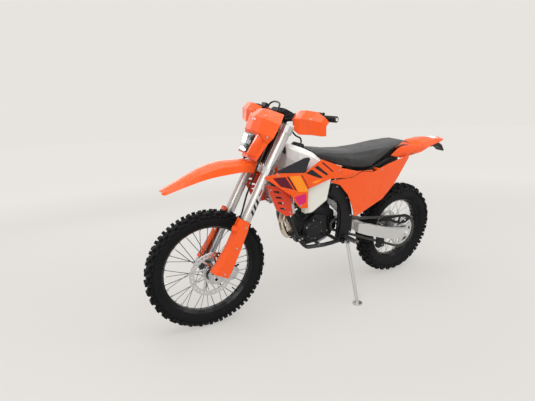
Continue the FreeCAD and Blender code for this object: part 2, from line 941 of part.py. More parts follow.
def make_main_frame():
    """Head tube, downtube, cradle, spars, pivot plates, cross tubes, brackets and stand lug."""
    up = yoke_straight.Rotation.multVec(UP)
    bore = Part.makeCylinder(
        float(size("stem_radius") + size("stem_gap")), float(size("head_tube_span")) + 20,
        head_low - up * 10, up,
    )
    half = float(size("cradle_half_width"))
    inner = float(size("plate_inner"))
    wall = float(size("plate_wall"))
    seat = float(size("seat_gap"))
    pieces = [head_tube(0), frame_downtube(0), tank_rest(0)]
    plate = prism(
        [(552, 412), (566, 390), (622, 384), (652, 430), (646, 560), (668, 690), (640, 706),
         (588, 620), (552, 545)],
        inner, inner + wall,
    )
    hole = rod((pivot.x, -200, pivot.z), (pivot.x, 200, pivot.z), size("pivot_bolt_radius") + seat)
    for side in (1, -1):
        pieces.append(
            tube(
                [(1024, 0, 668), (990, side * half * 0.75, 590), (940, side * half, 470),
                 (872, side * half, 392), (700, side * half, 378), (612, side * (inner + 5), 396)],
                size("cradle_radius"), [60, 120, 60, 200], 6,
            )
        )
        pieces.append(frame_spar(side, 0))
        pieces.append(plate if side > 0 else mirrored(plate))
    for (x, z), radius in (((640, 405), 12), (SHOCK_TOP, 12)):
        pieces.append(tube([(x, -inner - 2, z), (x, inner + 2, z)], radius))
    core = float(size("radiator_inner")) - seat
    for x, z in RADIATOR_RODS:
        pieces.append(tube([(x, -core, z), (x, core, z)], 6, sides=6))
    bracket = prism([(902, 436), (944, 440), (954, 474), (902, 478)], ENGINE_HALF + seat, 84)
    pieces += [bracket, mirrored(bracket)]
    stand_y = float(size("stand_pivot_left"))
    pieces.append(prism([(548, 384), (602, 376), (612, 410), (556, 414)], inner, stand_y - 15))
    solid = pieces[0].multiFuse(pieces[1:]).cut(bore).cut(hole).fuse(stand_bolt())
    keep(computed("main_frame", clean(solid)), "main_frame", world)


def stand_bolt():
    """The pin that the side stand turns on."""
    at = Vector(float(size("stand_pivot_ahead")), float(size("stand_pivot_left")), float(size("stand_pivot_up")))
    axis = stand_axis()
    return rod(tuple(at - axis * 16), tuple(at + axis * 16), size("pin_radius"))


def stand_axis():
    return Vector(-0.163, 1, 0.183).normalize()


def airbox_form():
    """The airbox, the tongue that carries the rear fender, and the rear subframe's tubes."""
    box = facets(
        [
            [(470, -95, 640), (470, 95, 640), (470, 95, 810), (470, 72, 832), (470, -72, 832), (470, -95, 810)],
            [(300, -88, 740), (300, 88, 740), (300, 88, 865), (300, 68, 885), (300, -68, 885), (300, -88, 865)],
            [(130, -70, 860), (130, 70, 860), (130, 70, 925), (130, 56, 940), (130, -56, 940), (130, -70, 925)],
        ]
    )
    tongue = Part.makeBox(95, 116, 26, Vector(40, -58, 914.7))
    pieces = [tongue]
    for side in (1, -1):
        pieces.append(tube([(640, side * 84, 700), (560, side * 92, 790), (180, side * 82, 925)], 11, 90, 6))
        pieces.append(tube([(600, side * 88, 640), (440, side * 90, 800), (300, side * 86, 880)], 9, 90, 6))
    return box.multiFuse(pieces)


def make_airbox():
    keep(computed("airbox", airbox_form()), "airbox", world)


def make_engine():
    """The engine block: crankcase, barrel between its two flanges, head and cam cover."""
    half = ENGINE_HALF
    cases = prism(
        [(628, 478), (650, 424), (700, 398), (864, 390), (896, 430), (904, 486), (872, 548),
         (850, 590), (690, 622), (640, 590)],
        -half, half,
    )
    pieces = []
    for front, back, lean_back, low, high, width in (
        (862, 698, 12, 560, 584, 50), (852, 712, 20, 580, 668, 44), (884, 734, 6, 664, 684, 50),
        (880, 744, 10, 680, 742, 46), (890, 770, 14, 736, 778, 38),
    ):
        pieces.append(
            facets(
                [
                    [(back, -width, low), (front, -width, low - 14), (front, width, low - 14), (back, width, low)],
                    [(back + lean_back, -width, high), (front + lean_back, -width, high - 14),
                     (front + lean_back, width, high - 14), (back + lean_back, width, high)],
                ]
            )
        )
    lug = prism([(874, 442), (906, 440), (928, 446), (930, 466), (904, 472), (874, 470)], -half, half)
    keep(computed("engine", cases.multiFuse(pieces + [lug])), "engine", world)


def make_engine_covers():
    """Ignition and sprocket covers on the left, clutch and pump covers on the right."""
    face = ENGINE_HALF + float(size("seat_gap"))
    left = prism([(706, 480), (722, 424), (850, 415), (892, 462), (880, 550), (806, 596), (722, 572)],
                 face, 74)
    ignition = disc_cover(820, 505, 72, 28, 66, 56)
    boss = disc_cover(820, 505, 98, 8, 30, 26, 10)
    sprocket = prism([(620, 472), (642, 452), (690, 455), (698, 520), (682, 556), (632, 552)], face, 60)
    right = prism([(642, 470), (700, 408), (858, 405), (893, 470), (868, 566), (780, 598), (674, 566)],
                  face, 84)
    clutch = disc_cover(720, 500, 82, 20, 60, 52)
    pump = disc_cover(842, 470, 82, 14, 28, 24, 10)
    covers = [left.multiFuse([ignition, boss]), sprocket, mirrored(right.multiFuse([clutch, pump]))]
    keep(computed("engine_covers", Part.makeCompound(covers)), "engine_covers", world)


def header_form(radius):
    """The exhaust header's loop in front of the engine and its way back on the right."""
    path = [(900, -10, 640), (985, -10, 625), (1020, 20, 560), (1012, 45, 500), (966, 40, 462),
            (938, -10, 510), (922, -72, 572), (890, -122, 590), (760, -142, 600), (620, -150, 655),
            (520, -158, 715), (470.3, -165, 744)]
    return tube(path, radius, [40, 60, 50, 50, 50, 60, 90, 120, 160, 160], 10)


def make_header():
    pipe = header_form(19).cut(silencer_form(float(size("seat_gap"))))
    keep(computed("header_pipe", pipe), "header_pipe", world)


def silencer_form(grow):
    """The muffler's eight-sided can, grown all round by a clearance."""
    sections = []
    for x, z, half_y, half_z in ((470, 744, 22, 22), (430, 762, 48, 56), (60, 886, 50, 60), (10, 903, 34, 40)):
        ring = []
        for k in range(8):
            a = math.radians(22.5 + 45 * k)
            ring.append(
                (x, -165 + (half_y + grow) * math.cos(a), z + (half_z + grow) * math.sin(a))
            )
        sections.append(ring)
    return facets(sections)


def make_silencer():
    body = silencer_form(0)
    outlet = tube([(12, -165, 902), (-18, -165, 912)], 17)
    hanger = rod((250, -84, 898), (250, -150, 868), 7).cut(airbox_form())
    hanger = sorted(hanger.Solids, key=lambda s: s.CenterOfMass.y)[0]
    keep(computed("silencer", body.multiFuse([hanger, outlet])), "silencer", world)


def make_radiators():
    """Two radiator cores, their fronts cut into louvres between the end tanks."""
    inner = size("radiator_inner")
    body = new_body("radiators")
    sketch = sketch_on(body, "XZ_Plane", -inner)
    front_top, front_foot = (1072, 806), (1032, 650)
    edge = louvred(front_top, front_foot, 7, -7.0)
    add_loop(sketch, [(1006, 660), (1046, 818), front_top] + edge + [front_foot])
    core = pad(sketch, size("radiator_outer") - inner)
    on_both_sides(core)
    keep(body, "radiators", world)


def make_radiator_guards():
    """The guards on the radiators' outer sides, with a row of slanting vents."""
    inner = size("radiator_outer") + size("seat_gap")
    body = new_body("radiator_guards")
    sketch = sketch_on(body, "XZ_Plane", -inner)
    add_loop(sketch, [(1030, 655), (1080, 655), (1138, 700), (1180, 786), (1210, 850), (1134, 832),
                      (1072, 820), (1050, 738)])
    guard = pad(sketch, 13)
    vents = sketch_on(body, "XZ_Plane")
    for x, z in ((1074, 690), (1089, 724), (1104, 758), (1119, 792)):
        add_loop(vents, [(x, z), (x + 44, z + 12), (x + 50, z + 24), (x + 6, z + 14)])
    on_both_sides(guard, cut_through(vents))
    keep(body, "radiator_guards", world)


# Bodywork


def tank_form(grow):
    """The tank's outer form, grown all round by a clearance."""
    sections = []
    for x, low, high, half, top in (
        (756, 780, 900, 90, 58), (800, 786, 946, 102, 70), (860, 800, 985, 108, 74), (920, 815, 1012, 107, 72),
        (970, 834, 1030, 98, 62), (1014, 878, 1042, 66, 46), (1030, 902, 1044, 54, 38),
    ):
        low, high, half, top = low - grow, high + grow, half + grow, top + grow
        middle = (low + high) / 2
        shoulder = high - (high - low) * 0.16
        sections.append(
            [(x, -half + 8, low), (x, half - 8, low), (x, half + 8, middle), (x, half - 4, shoulder),
             (x, top, high), (x, -top, high), (x, -half + 4, shoulder), (x, -half - 8, middle)]
        )
    return facets(sections)


CAP_BASE = Vector(918, 0, 1004)
CAP_WAY = Vector(-0.25, 0, 1).normalize()


def cap_space(grow):
    """The filler cap's room on the tank."""
    radius = float(size("cap_radius")) + grow
    return Part.makeCylinder(radius, float(size("cap_height")) + grow * 2, CAP_BASE - CAP_WAY * grow, CAP_WAY)


def make_tank():
    """The tank over the frame's spars, with a lobe down each side of the engine."""
    lobe = facets(
        [
            [(948, y, 812), (770, y, 838), (775 + cut, y, 700 + cut), (885, y, 638 + cut), (930 - cut, y, 640 + cut)]
            for y, cut in ((96, 0), (132, 0), (150, 14))
        ]
    )
    gap = float(size("tank_gap"))
    tunnel = prism([(700, 640), (760, 850), (900, 880), (1080, 910), (1060, 640)], -50, 50)
    solid = tank_form(0).multiFuse([lobe, mirrored(lobe)]).cut(tunnel)
    for tool in (frame_spar(1, gap), frame_spar(-1, gap), frame_downtube(gap), head_tube(gap)):
        solid = solid.cut(tool)
    solid = solid.cut(tank_rest(float(size("seat_gap")))).cut(cap_space(float(size("seat_gap"))))
    keep(computed("fuel_tank", clean(solid)), "fuel_tank", world)


def make_tank_cap():
    """The filler cap, turned to a stepped profile, with finger notches round its edge."""
    body = new_body("tank_cap")
    profile = sketch_on(body, "YZ_Plane")
    edge = size("cap_radius")
    high = size("cap_height")
    add_loop(profile, [(0, 0), (0, edge), (high - 12, edge), (high - 6, edge - 6), (high, edge - 8), (high, 0)])
    turned(profile)
    notch = sketch_on(body, "XZ_Plane")
    out = float(edge)
    add_loop(notch, [(out - 4, -4), (out + 4, -7), (out + 4, 7), (out - 4, 4)])
    repeated(cut_through(notch), 8)
    keep(body, "tank_cap", world * Placement(CAP_BASE, Rotation(LEFT, CAP_WAY)))


SHROUD = [(1262, 912), (1170, 922), (986, 902), (865, 965), (700, 905), (690, 838), (786, 841),
          (953, 806), (948, 690), (1008, 703), (1075, 786), (1147, 835)]
SHROUD_PLAN = [(680, 150), (800, 160), (960, 176), (1100, 190), (1272, 206)]


def make_shrouds():
    """The side shrouds: two facets that meet in a crease, and the boss on the tank."""
    left = panel(SHROUD, SHROUD_PLAN, float(size("panel_wall")), 0)
    boss = tube([(900, 90, 868), (900, 172, 868)], 11)
    tank = tank_form(float(size("seat_gap")))
    keep(computed("shroud_left", left.fuse(boss.cut(tank))), "shroud_left", world)
    right = mirrored(left).fuse(mirrored(boss).cut(tank))
    keep(computed("shroud_right", right), "shroud_right", world)


def make_scoops():
    wall = 6.0
    inset = wall + float(size("seat_gap"))
    plan = [(x, y - inset) for x, y in SHROUD_PLAN]
    outline_points = [(1175, 932), (985, 985), (958, 984), (950, 974), (962, 950), (978, 890), (1150, 905)]
    scoop = panel(outline_points, plan, wall, 0)
    keep(computed("air_scoops", both_sides(scoop)), "air_scoops", world)


def make_seat():
    """The long flat seat, its nose up on the tank."""
    sections = []
    for x, low, high, half in (
        (-28, 974, 982, 40), (30, 988, 1000, 72), (110, 1001, 1014, 92), (260, 955, 1004, 118),
        (420, 862, 986, 122), (560, 866, 977, 118), (700, 905, 985, 108), (840, 955, 1005, 84),
        (868, 985, 1012, 70),
    ):
        thick = high - low
        edge = high - min(9.0, 0.3 * thick)
        crown = high - min(1.5, 0.1 * thick)
        sections.append(
            [(x, -half, low), (x, half, low), (x, half, low + thick * 0.55), (x, half * 0.86, edge),
             (x, half * 0.5, crown), (x, -half * 0.5, crown), (x, -half * 0.86, edge), (x, -half, low + thick * 0.55)]
        )
    gap = float(size("soft_gap"))
    cushion = facets(sections).cut(tank_form(gap)).cut(cap_space(gap))
    solids = sorted(cushion.Solids, key=lambda s: s.Volume)
    keep(computed("seat", solids[-1]), "seat", world)


SIDE_PANEL = [(763, 822), (585, 823), (518, 854), (414, 843), (305, 879), (90, 920), (85, 903),
              (206, 735), (313, 648), (522, 567), (545, 563), (573, 638), (615, 715), (684, 786),
              (745, 807)]
SIDE_PLAN = [(70, 118), (300, 138), (480, 142), (650, 136), (780, 132)]


def make_side_panels():
    """The side panels on their bosses; the right one leaves the hot exhaust its room."""
    left = panel(SIDE_PANEL, SIDE_PLAN, float(size("panel_wall")), 0)
    airbox = airbox_form()
    for x, z in ((370, 850), (430, 676)):
        boss = tube([(x, 86, z), (x, 141, z)], 9).cut(airbox)
        left = left.fuse(sorted(boss.Solids, key=lambda s: s.CenterOfMass.y)[-1])
    keep(computed("side_panel_left", left), "side_panel_left", world)
    clear = float(size("heat_gap"))
    hanger = rod((250, -96, 892), (250, -150, 868), 7 + clear)
    right = mirrored(left).cut(silencer_form(clear)).cut(header_form(19 + clear)).cut(hanger)
    solids = sorted(right.Solids, key=lambda s: s.Volume)
    keep(computed("side_panel_right", solids[-1]), "side_panel_right", world)


def make_rear_fender():
    """The rear fender: a ridged top between two turned-down edges, rising to its tip."""
    sections = []
    wall = float(size("fender_wall"))
    for x, top, edge, half in ((100, 952, 905, 100), (30, 960, 914, 99), (-40, 968, 925, 98), (-100, 992, 940, 95),
                               (-200, 1006, 965, 88), (-290, 1008, 980, 76), (-345, 1004, 988, 58)):
        shoulder = top - 6
        skin = [(x, -half, edge), (x, -half * 0.86, shoulder - 4), (x, -half * 0.5, shoulder), (x, 0, top),
                (x, half * 0.5, shoulder), (x, half * 0.86, shoulder - 4), (x, half, edge)]
        lining = [(x, half - wall, edge), (x, half * 0.86 - wall * 0.8, shoulder - 4 - wall),
                  (x, half * 0.5, shoulder - wall), (x, 0, top - wall), (x, -half * 0.5, shoulder - wall),
                  (x, -half * 0.86 + wall * 0.8, shoulder - 4 - wall), (x, -half + wall, edge)]
        sections.append(skin + lining)
    keep(computed("rear_fender", facets(sections)), "rear_fender", world)


def make_tail():
    """The plate holder under the rear fender, with the tail lamp's housing."""
    body = facets(
        [
            [(x, -low_half, low), (x, low_half, low), (x, half, (low + high) / 2), (x, low_half, high),
             (x, -low_half, high), (x, -half, (low + high) / 2)]
            for x, low, high, half, low_half in (
                (-180, 940, 975, 50, 40), (-320, 940, 968, 45, 38), (-372, 918, 944, 42, 34), (-405, 895, 908, 35, 30)
            )
        ]
    )
    post = Part.makeBox(60, 30, 46, Vector(-300, -15, 955))
    under = 1004.7 - float(size("fender_wall")) - float(size("seat_gap"))
    post = post.common(Part.makeBox(400, 200, 400, Vector(-500, -100, under - 400)))
    keep(computed("tail_unit", body.fuse(post)), "tail_unit", world)


def make_frame_guards():
    """The curved guards over the frame's pivot plates."""
    inner = size("plate_inner") + size("plate_wall") + size("seat_gap")
    body = new_body("frame_guards")
    sketch = sketch_on(body, "XZ_Plane", -inner)
    add_loop(sketch, [(729, 797), (675, 787), (622, 736), (578, 676), (553, 610), (538, 547), (534, 455),
                      (562, 415), (640, 420), (630, 520), (640, 610), (668, 668), (735, 745)])
    on_both_sides(pad(sketch, 9))
    keep(body, "frame_guards", world)


# Rear end


SWINGARM_BEAM = [(396, 410), (470, 432), (470, 492), (396, 472)]


def make_swingarm():
    """Two arms joined behind the engine, and the bolt that they turn on."""
    x0, z0 = rear_axle_x, rear_axle_z
    reach = float(size("swingarm_reach"))
    arm = prism(
        [(x0 - 46, z0 + 16), (x0 - 40, z0 - 26), (x0 + 115, z0 - 28), (x0 + reach * 0.42, z0 + 10), (399, 398),
         (482, 432), (482, 496), (382, 474), (x0 + reach * 0.3, z0 + 66), (x0 - 20, z0 + 30)],
        98, 128,
    )
    root = prism([(400, 412), (480, 440), (560, 460), (585, 460), (585, 497), (480, 498), (400, 476)], 58, 92)
    boss = rod((pivot.x, 58, pivot.z), (pivot.x, 92, pivot.z), 19)
    elbow = prism([(398, 404), (478, 432), (478, 494), (398, 474)], 58, 110)
    beam = prism(SWINGARM_BEAM, -62, 62)
    half = float(size("plate_inner") + size("plate_wall"))
    bolt = rod((pivot.x, -half, pivot.z), (pivot.x, half, pivot.z), size("pivot_bolt_radius"))
    slot = rod((x0, -200, z0), (x0, 200, z0), size("rear_axle_radius") + size("seat_gap"))
    pieces = [arm, root, boss, elbow, mirrored(arm), mirrored(root), mirrored(boss), mirrored(elbow), bolt]
    solid = beam.multiFuse(pieces).cut(slot)
    keep(computed("swingarm", clean(solid)), "swingarm", world)


def make_chain():
    """The chain: wide outer links and narrow inner ones by turns, on a loop round both sprockets."""
    rear = Vector(rear_axle_x, 0, rear_axle_z)
    front = Vector(float(size("front_sprocket_ahead")), 0, float(size("front_sprocket_up")))
    big = float(size("rear_sprocket_radius"))
    small = float(size("front_sprocket_radius"))
    half_height = float(size("chain_half_height"))
    left = float(size("chain_left"))
    wide = float(size("chain_half_width"))
    narrow = wide - float(size("link_step"))
    places = belt_places(rear, front, big, small, int(size("chain_links").number))
    faces = []
    count = len(places)
    for k in range(count):
        width, before = (wide, narrow) if k % 2 else (narrow, wide)
        at, out = places[k]
        ahead, out_ahead = places[(k + 1) % count]
        here = link_corners(at, out, left, width, half_height)
        onward = link_corners(ahead, out_ahead, left, width, half_height)
        previous = link_corners(at, out, left, before, half_height)
        for i in range(4):
            patch = [here[i], here[(i + 1) % 4], onward[(i + 1) % 4], onward[i]]
            faces.append(Part.Face(Part.makePolygon(patch + [patch[0]])))
        for i, j in ((0, 1), (2, 3)):
            patch = [here[i], here[j], previous[j], previous[i]]
            faces.append(Part.Face(Part.makePolygon(patch + [patch[0]])))
    keep(computed("chain", sewn(faces)), "chain", world)


def make_chain_guides():
    """The lower chain guide: a cheek on the swingarm and the shoe that the chain runs over."""
    left = size("chain_left")
    outer = float(size("seat_gap"))
    body = new_body("chain_guides")
    cheek = sketch_on(body, "XZ_Plane", -left - 9)
    add_loop(cheek, [(180, 262), (235, 252), (252, 276), (262, 300), (268, 366), (214, 352), (188, 326), (180, 290)])
    pad(cheek, 98 - outer - 9 - float(left))
    shoe = sketch_on(body, "XZ_Plane", 12 - left)
    add_loop(shoe, [(182, 264), (236, 256), (252, 284), (190, 268)])
    body.Tip = pad(shoe, 98 - outer + 12 - float(left))
    keep(body, "chain_guides", world)


def make_shock():
    """The shock behind the engine: damper, spring coils as ridges, and its clevis."""
    top = Vector(SHOCK_TOP[0], 0, SHOCK_TOP[1])
    foot = Vector(SHOCK_FOOT[0], 0, SHOCK_FOOT[1])
    way = (top - foot).normalize()
    top = top - way * 12.3
    start = foot + way * 62
    end = top - way * 34
    clevis = tube([tuple(foot), tuple(foot + way * 64)], 9)
    body = tube([tuple(foot + way * 40), tuple(top)], 20, sides=10)
    coils = int(size("spring_coils").number)
    step = (end - start) * (1.0 / (2 * coils))
    rings = []
    for k in range(2 * coils + 1):
        radius = 26.0 if k % 2 else 33.0
        wire = round_section(start + step * k, way, LEFT, radius, 10)
        rings.append([(v.Point.x, v.Point.y, v.Point.z) for v in wire.OrderedVertexes])
    spring = facets(rings)
    beam_clear = prism(SWINGARM_BEAM, -200, 200)
    keep(computed("shock", clevis.multiFuse([body, spring]).cut(beam_clear)), "shock", world)


def make_foot_controls():
    """Footpegs, rear brake pedal and shift lever."""
    outer = float(size("plate_inner") + size("plate_wall"))
    gap = float(size("seat_gap"))
    guard = outer + 9 + 2 * gap
    peg = prism([(566, 420), (604, 420), (604, 436), (600, 431), (592, 436), (585, 431), (578, 436), (566, 431)],
                guard, 228)
    start = -outer - gap
    brake = tube([(606, start, 400), (606, -142, 400), (680, -142, 412), (770, -134, 418)], 7, [14, 60], 6)
    step = prism([(752, 410), (790, 416), (790, 430), (752, 424)], -160, -124)
    cover = 74 + gap
    lever = tube([(735, cover, 452), (735, 116, 452), (780, 119, 440), (826, 124, 430)], 6, [14, 20], 6)
    toe = tube([(822, 114, 430), (822, 154, 432)], 9, sides=8)
    pieces = [peg, mirrored(peg), brake.fuse(step), lever.fuse(toe)]
    keep(computed("foot_controls", Part.makeCompound(pieces)), "foot_controls", world)


def make_rear_axle():
    """The rear axle with its nut and head outside the swingarm."""
    half = size("rear_axle_half_length")
    bar = cylinder("rear_axle_bar", size("rear_axle_radius"), half * 2, LEFT * -float(half))
    nut = regular("rear_axle_nut", 6, 18, 8, LEFT * (128 + float(size("seat_gap"))))
    head = regular("rear_axle_head", 6, 18, 8, LEFT * -(136 + float(size("seat_gap"))))
    keep(fused("rear_axle", [bar, nut, head]), "rear_axle", world * rear_wheel)


def make_rear_caliper():
    """The rear caliper, slotted for its disc."""
    x0, z0 = rear_axle_x, rear_axle_z
    across = -float(size("rear_disc_right"))
    slot = float(size("disc_wall")) / 2 + float(size("pad_gap"))
    block = prism(
        [(x0 + 62, z0 + 20), (x0 + 112, z0 + 28), (x0 + 122, z0 + 60), (x0 + 112, z0 + 96), (x0 + 70, z0 + 100),
         (x0 + 50, z0 + 80)],
        -98 + float(size("seat_gap")), across + 12,
    )
    gap = rod((x0, across - slot, z0), (x0, across + slot, z0), float(size("rear_disc_radius")) + 4)
    keep(computed("rear_caliper", block.cut(gap)), "rear_caliper", world)


# Front end


def make_clamps():
    """The two clamps with their split collars, and the stem between them."""
    stem_low = YOKE_BEARING - 22
    gap = float(size("seat_gap"))
    ahead = float(size("fork_ahead"))
    spacing = float(size("fork_half_spacing"))
    outer = float(size("outer_tube_radius"))
    height = float(size("clamp_height"))
    top = float(size("upper_clamp_up")) + 10 + height
    pieces = [tube([(0, 0, stem_low), (0, 0, top + 6)], size("stem_radius"), sides=12)]
    for low in (float(size("lower_clamp_up")), float(size("upper_clamp_up")) + 10):
        wire = outline(
            [(-22, -28, low), (ahead - 20, -spacing - 10, low), (ahead + 18, -spacing - 6, low),
             (ahead + outer + 8, -spacing + 24, low), (ahead + 22, -24, low), (ahead + 22, 24, low),
             (ahead + outer + 8, spacing - 24, low), (ahead + 18, spacing + 6, low),
             (ahead - 20, spacing + 10, low), (-22, 28, low)]
        )
        pieces.append(Part.Face(wire).extrude(Vector(0, 0, height - 12)))
        for side in (1, -1):
            centre = Vector(ahead, side * spacing, low - 3)
            collar = Part.Face(round_section(centre, UP, AHEAD, outer + 9, 12)).extrude(Vector(0, 0, height - 6))
            pinch = Part.makeBox(10, 16, height - 18, Vector(ahead + outer + 2, side * spacing - 8, low + 3))
            pieces += [collar, pinch]
    solid = pieces[0].multiFuse(pieces[1:])
    for side in (1, -1):
        solid = solid.cut(rod((ahead, side * spacing, 500), (ahead, side * spacing, 1000), outer + gap))
    keep(computed("triple_clamps", clean(solid)), "triple_clamps", world * yoke)


def make_forks():
    """The outer fork tubes in the clamps, and the legs below them with their axle lugs."""
    ahead = float(size("fork_ahead"))
    spacing = float(size("fork_half_spacing"))
    foot = size("outer_tube_foot")
    length = size("upper_clamp_up") + size("clamp_height") - foot
    gap = float(size("seat_gap"))
    tubes = []
    for side in (1, -1):
        at = Vector(ahead, side * spacing, float(foot))
        barrel = cylinder("fork_barrel", size("outer_tube_radius"), length, at, UP)
        bore = cylinder("fork_bore", size("inner_tube_radius") + size("seat_gap"), 120, at - UP * 10, UP)
        tubes.append(ring_cut("fork_tube", barrel, bore))
    pair = doc.addObject("Part::Compound", "fork_tubes")
    pair.Links = tubes
    keep(pair, "fork_tubes", world * yoke)
    legs = []
    lead = float(size("axle_lead"))
    reach = float(foot) + 100 - axle_up
    for side in (1, -1):
        slider = rod((ahead, side * spacing, 30), (ahead, side * spacing, reach), size("inner_tube_radius"))
        lug = prism(
            [(ahead - 26, 76), (ahead - 28, 26), (ahead - 6, -12), (lead - 12, -30), (lead + 14, -28),
             (lead + 30, -8), (lead + 28, 16), (ahead + 26, 56), (ahead + 24, 76)],
            spacing - 24, spacing + 24,
        )
        pinch = prism([(lead - 20, -28), (lead + 6, -36), (lead + 10, -26), (lead - 14, -20)],
                      spacing - 20, spacing + 20)
        lug = lug.fuse(pinch)
        if side < 0:
            lug = mirrored(lug)
        bore = rod((lead, side * spacing - 50, 0), (lead, side * spacing + 50, 0), size("front_axle_radius") + gap)
        legs.append(slider.fuse(lug).cut(bore))
    keep(computed("fork_legs", Part.makeCompound(legs)), "fork_legs", world * leg)


def make_fork_guards():
    """The plastic guards that wrap the front and the outside of the lower fork legs."""
    wall = 3.0
    spacing = float(size("fork_half_spacing"))
    sections = []
    for level, front, back in ((352, 70, 14), (300, 70, 4), (180, 70, -4), (60, 84, -8), (24, 93, -4)):
        skin = [(front - 8, 84), (front, 96), (front, 126), (front - 14, 143), (back, 146)]
        lining = [(back, 146 - wall), (front - 15, 143 - wall), (front - wall, 125),
                  (front - wall, 97), (front - 9 - wall, 86)]
        sections.append([(n, y, level) for n, y in skin + lining])
    boss = rod((46, spacing + 24 + float(size("seat_gap")), 38), (46, 142, 38), 8)
    nub = facets(
        [
            [(64, 130, level), (86, 122, level), (96, 130, level), (88, 142, level), (64, 143, level)]
            for level in (282, 306)
        ]
    )
    guard = facets(sections).multiFuse([boss, nub])
    keep(computed("fork_guards", both_sides(guard)), "fork_guards", world * leg)


def make_front_axle():
    half = float(size("front_axle_half_length"))
    outer = cylinder("axle_bar", size("front_axle_radius"), size("front_axle_half_length") * 2, Vector(0, -half, 0))
    bore = cylinder("axle_bore", size("front_axle_bore"), size("front_axle_half_length") * 2 + 20, Vector(0, -half - 10, 0))
    keep(ring_cut("front_axle", outer, bore), "front_axle", world * front_wheel)


BAR = [(20, 0, 0), (20, 90, 0), (3, 180, 34)]


def bar_points():
    half = float(size("bar_half_width"))
    right = [(n, -y, s) for n, y, s in reversed(BAR[1:])]
    return [(BAR_END[0], -half, BAR_END[1])] + right + BAR[1:] + [(BAR_END[0], half, BAR_END[1])]


def make_handlebar():
    """The bar, hollow at its ends."""
    bar = tube(bar_points(), size("bar_radius"), [70, 70, 70, 70], 12)
    for side in (1, -1):
        end, out = bar_frame(side, 0)
        bore = rod(tuple(end + out), tuple(end - out * float(size("bar_bore_length"))), size("bar_bore"))
        bar = bar.cut(bore)
    keep(computed("handlebar", bar), "handlebar", cockpit)


def bar_frame(side, inboard):
    """A point on the straight end of the bar, and the way to the bar's end."""
    end = Vector(BAR_END[0], side * float(size("bar_half_width")), BAR_END[1])
    inward = Vector(BAR[-1][0], side * BAR[-1][1], BAR[-1][2]) - end
    inward.normalize()
    return end + inward * inboard, inward * -1


def make_grips():
    """Two rubber grips with their inner flanges."""
    sleeves = []
    for side in (1, -1):
        start, out = bar_frame(side, float(size("grip_length")))
        sleeve = regular("grip_sleeve", 12, size("grip_radius"), size("grip_length"), start, out)
        flange = regular("grip_flange", 12, 26, 7, start, out)
        bore = cylinder("grip_bore", size("bar_radius") + size("seat_gap"), size("grip_length") + 20,
                        start - out * 10, out)
        sleeves.append(ring_cut("grip", fused("grip_solid", [sleeve, flange]), bore))
    pair = doc.addObject("Part::Compound", "grips")
    pair.Links = sleeves
    keep(pair, "grips", cockpit)


def make_bar_pad():
    """The pad over the bar's middle, and the two posts that clamp the bar."""
    cushion = facets(
        [
            [(-22, y, 20), (-14, y, 16), (58, y, 16), (66, y, 24), (60 - drop, y, 46), (-18 + drop, y, 46)]
            for y, drop in ((-70, 10), (-60, 0), (60, 0), (70, 10))
        ]
    )
    low = float(size("clamp_height")) - float(size("bar_rise"))
    posts = [Part.makeBox(34, 24, 17 - low, Vector(3, side * 40 - 12, low)) for side in (1, -1)]
    bore = tube(bar_points(), float(size("bar_radius") + size("seat_gap")), [70, 70, 70, 70], 12)
    keep(computed("bar_pad", cushion.multiFuse(posts).cut(bore)), "bar_pad", cockpit)


def make_hand_controls():
    """A perch and lever on each side, with the brake's cylinder on the right."""
    gap = float(size("seat_gap"))
    pieces = []
    for side in (1, -1):
        start, out = bar_frame(side, float(size("grip_length")) + 34)
        perch = tube([tuple(start), tuple(start + out * 26)], 19, sides=10)
        bore = rod(tuple(start - out * 60), tuple(start + out * 80), float(size("bar_radius")) + gap)
        lever = facets(
            [
                [(n - thick, side * y, s - deep), (n + thick, side * y, s - deep),
                 (n + thick, side * y, s + deep), (n - thick, side * y, s + deep)]
                for n, y, s, thick, deep in (
                    (14, 244, 45, 12, 9), (40, 262, 46, 11, 8), (48, 290, 46, 6, 6), (44, 340, 48, 4.5, 7),
                    (38, 380, 50, 4.5, 7), (42, 392, 50, 7, 8),
                )
            ]
        )
        extra = []
        if side < 0:
            extra = [Part.makeBox(30, 50, 30, Vector(0, -268, 44))]
        pieces.append(perch.multiFuse([lever] + extra).cut(bore))
    keep(computed("hand_controls", Part.makeCompound(pieces)), "hand_controls", cockpit)


def make_handguards():
    """The faceted hand shields, each creased along its middle, with a strut to the bar."""
    wall = float(size("panel_wall"))
    sections = []
    for y, low, crease, high, n_low, n_crease, n_high in (
        (194, -32, -6, 36, 50, 66, 58), (240, -60, -6, 42, 60, 84, 72), (300, -74, -4, 46, 64, 92, 78),
        (380, -60, 0, 48, 54, 84, 70), (424, -50, 6, 34, 30, 60, 52), (436, -40, 0, 22, 12, 36, 30),
    ):
        sections.append(
            [(n_low, y, low), (n_crease, y, crease), (n_high, y, high),
             (n_high - wall, y, high), (n_crease - wall * 1.15, y, crease), (n_low - wall, y, low)]
        )
    shield = facets(sections)
    gap = float(size("seat_gap"))
    start, out = bar_frame(1, 204)
    ring = tube([tuple(start), tuple(start + out * 14)], 18, sides=10)
    strut = tube([tuple(start + out * 7), (78, 222, 8)], 6, sides=6)
    bore = rod(tuple(start - out * 20), tuple(start + out * 40), float(size("bar_radius")) + gap)
    guard = shield.multiFuse([ring, strut]).cut(bore)
    keep(computed("handguards", both_sides(guard)), "handguards", cockpit)


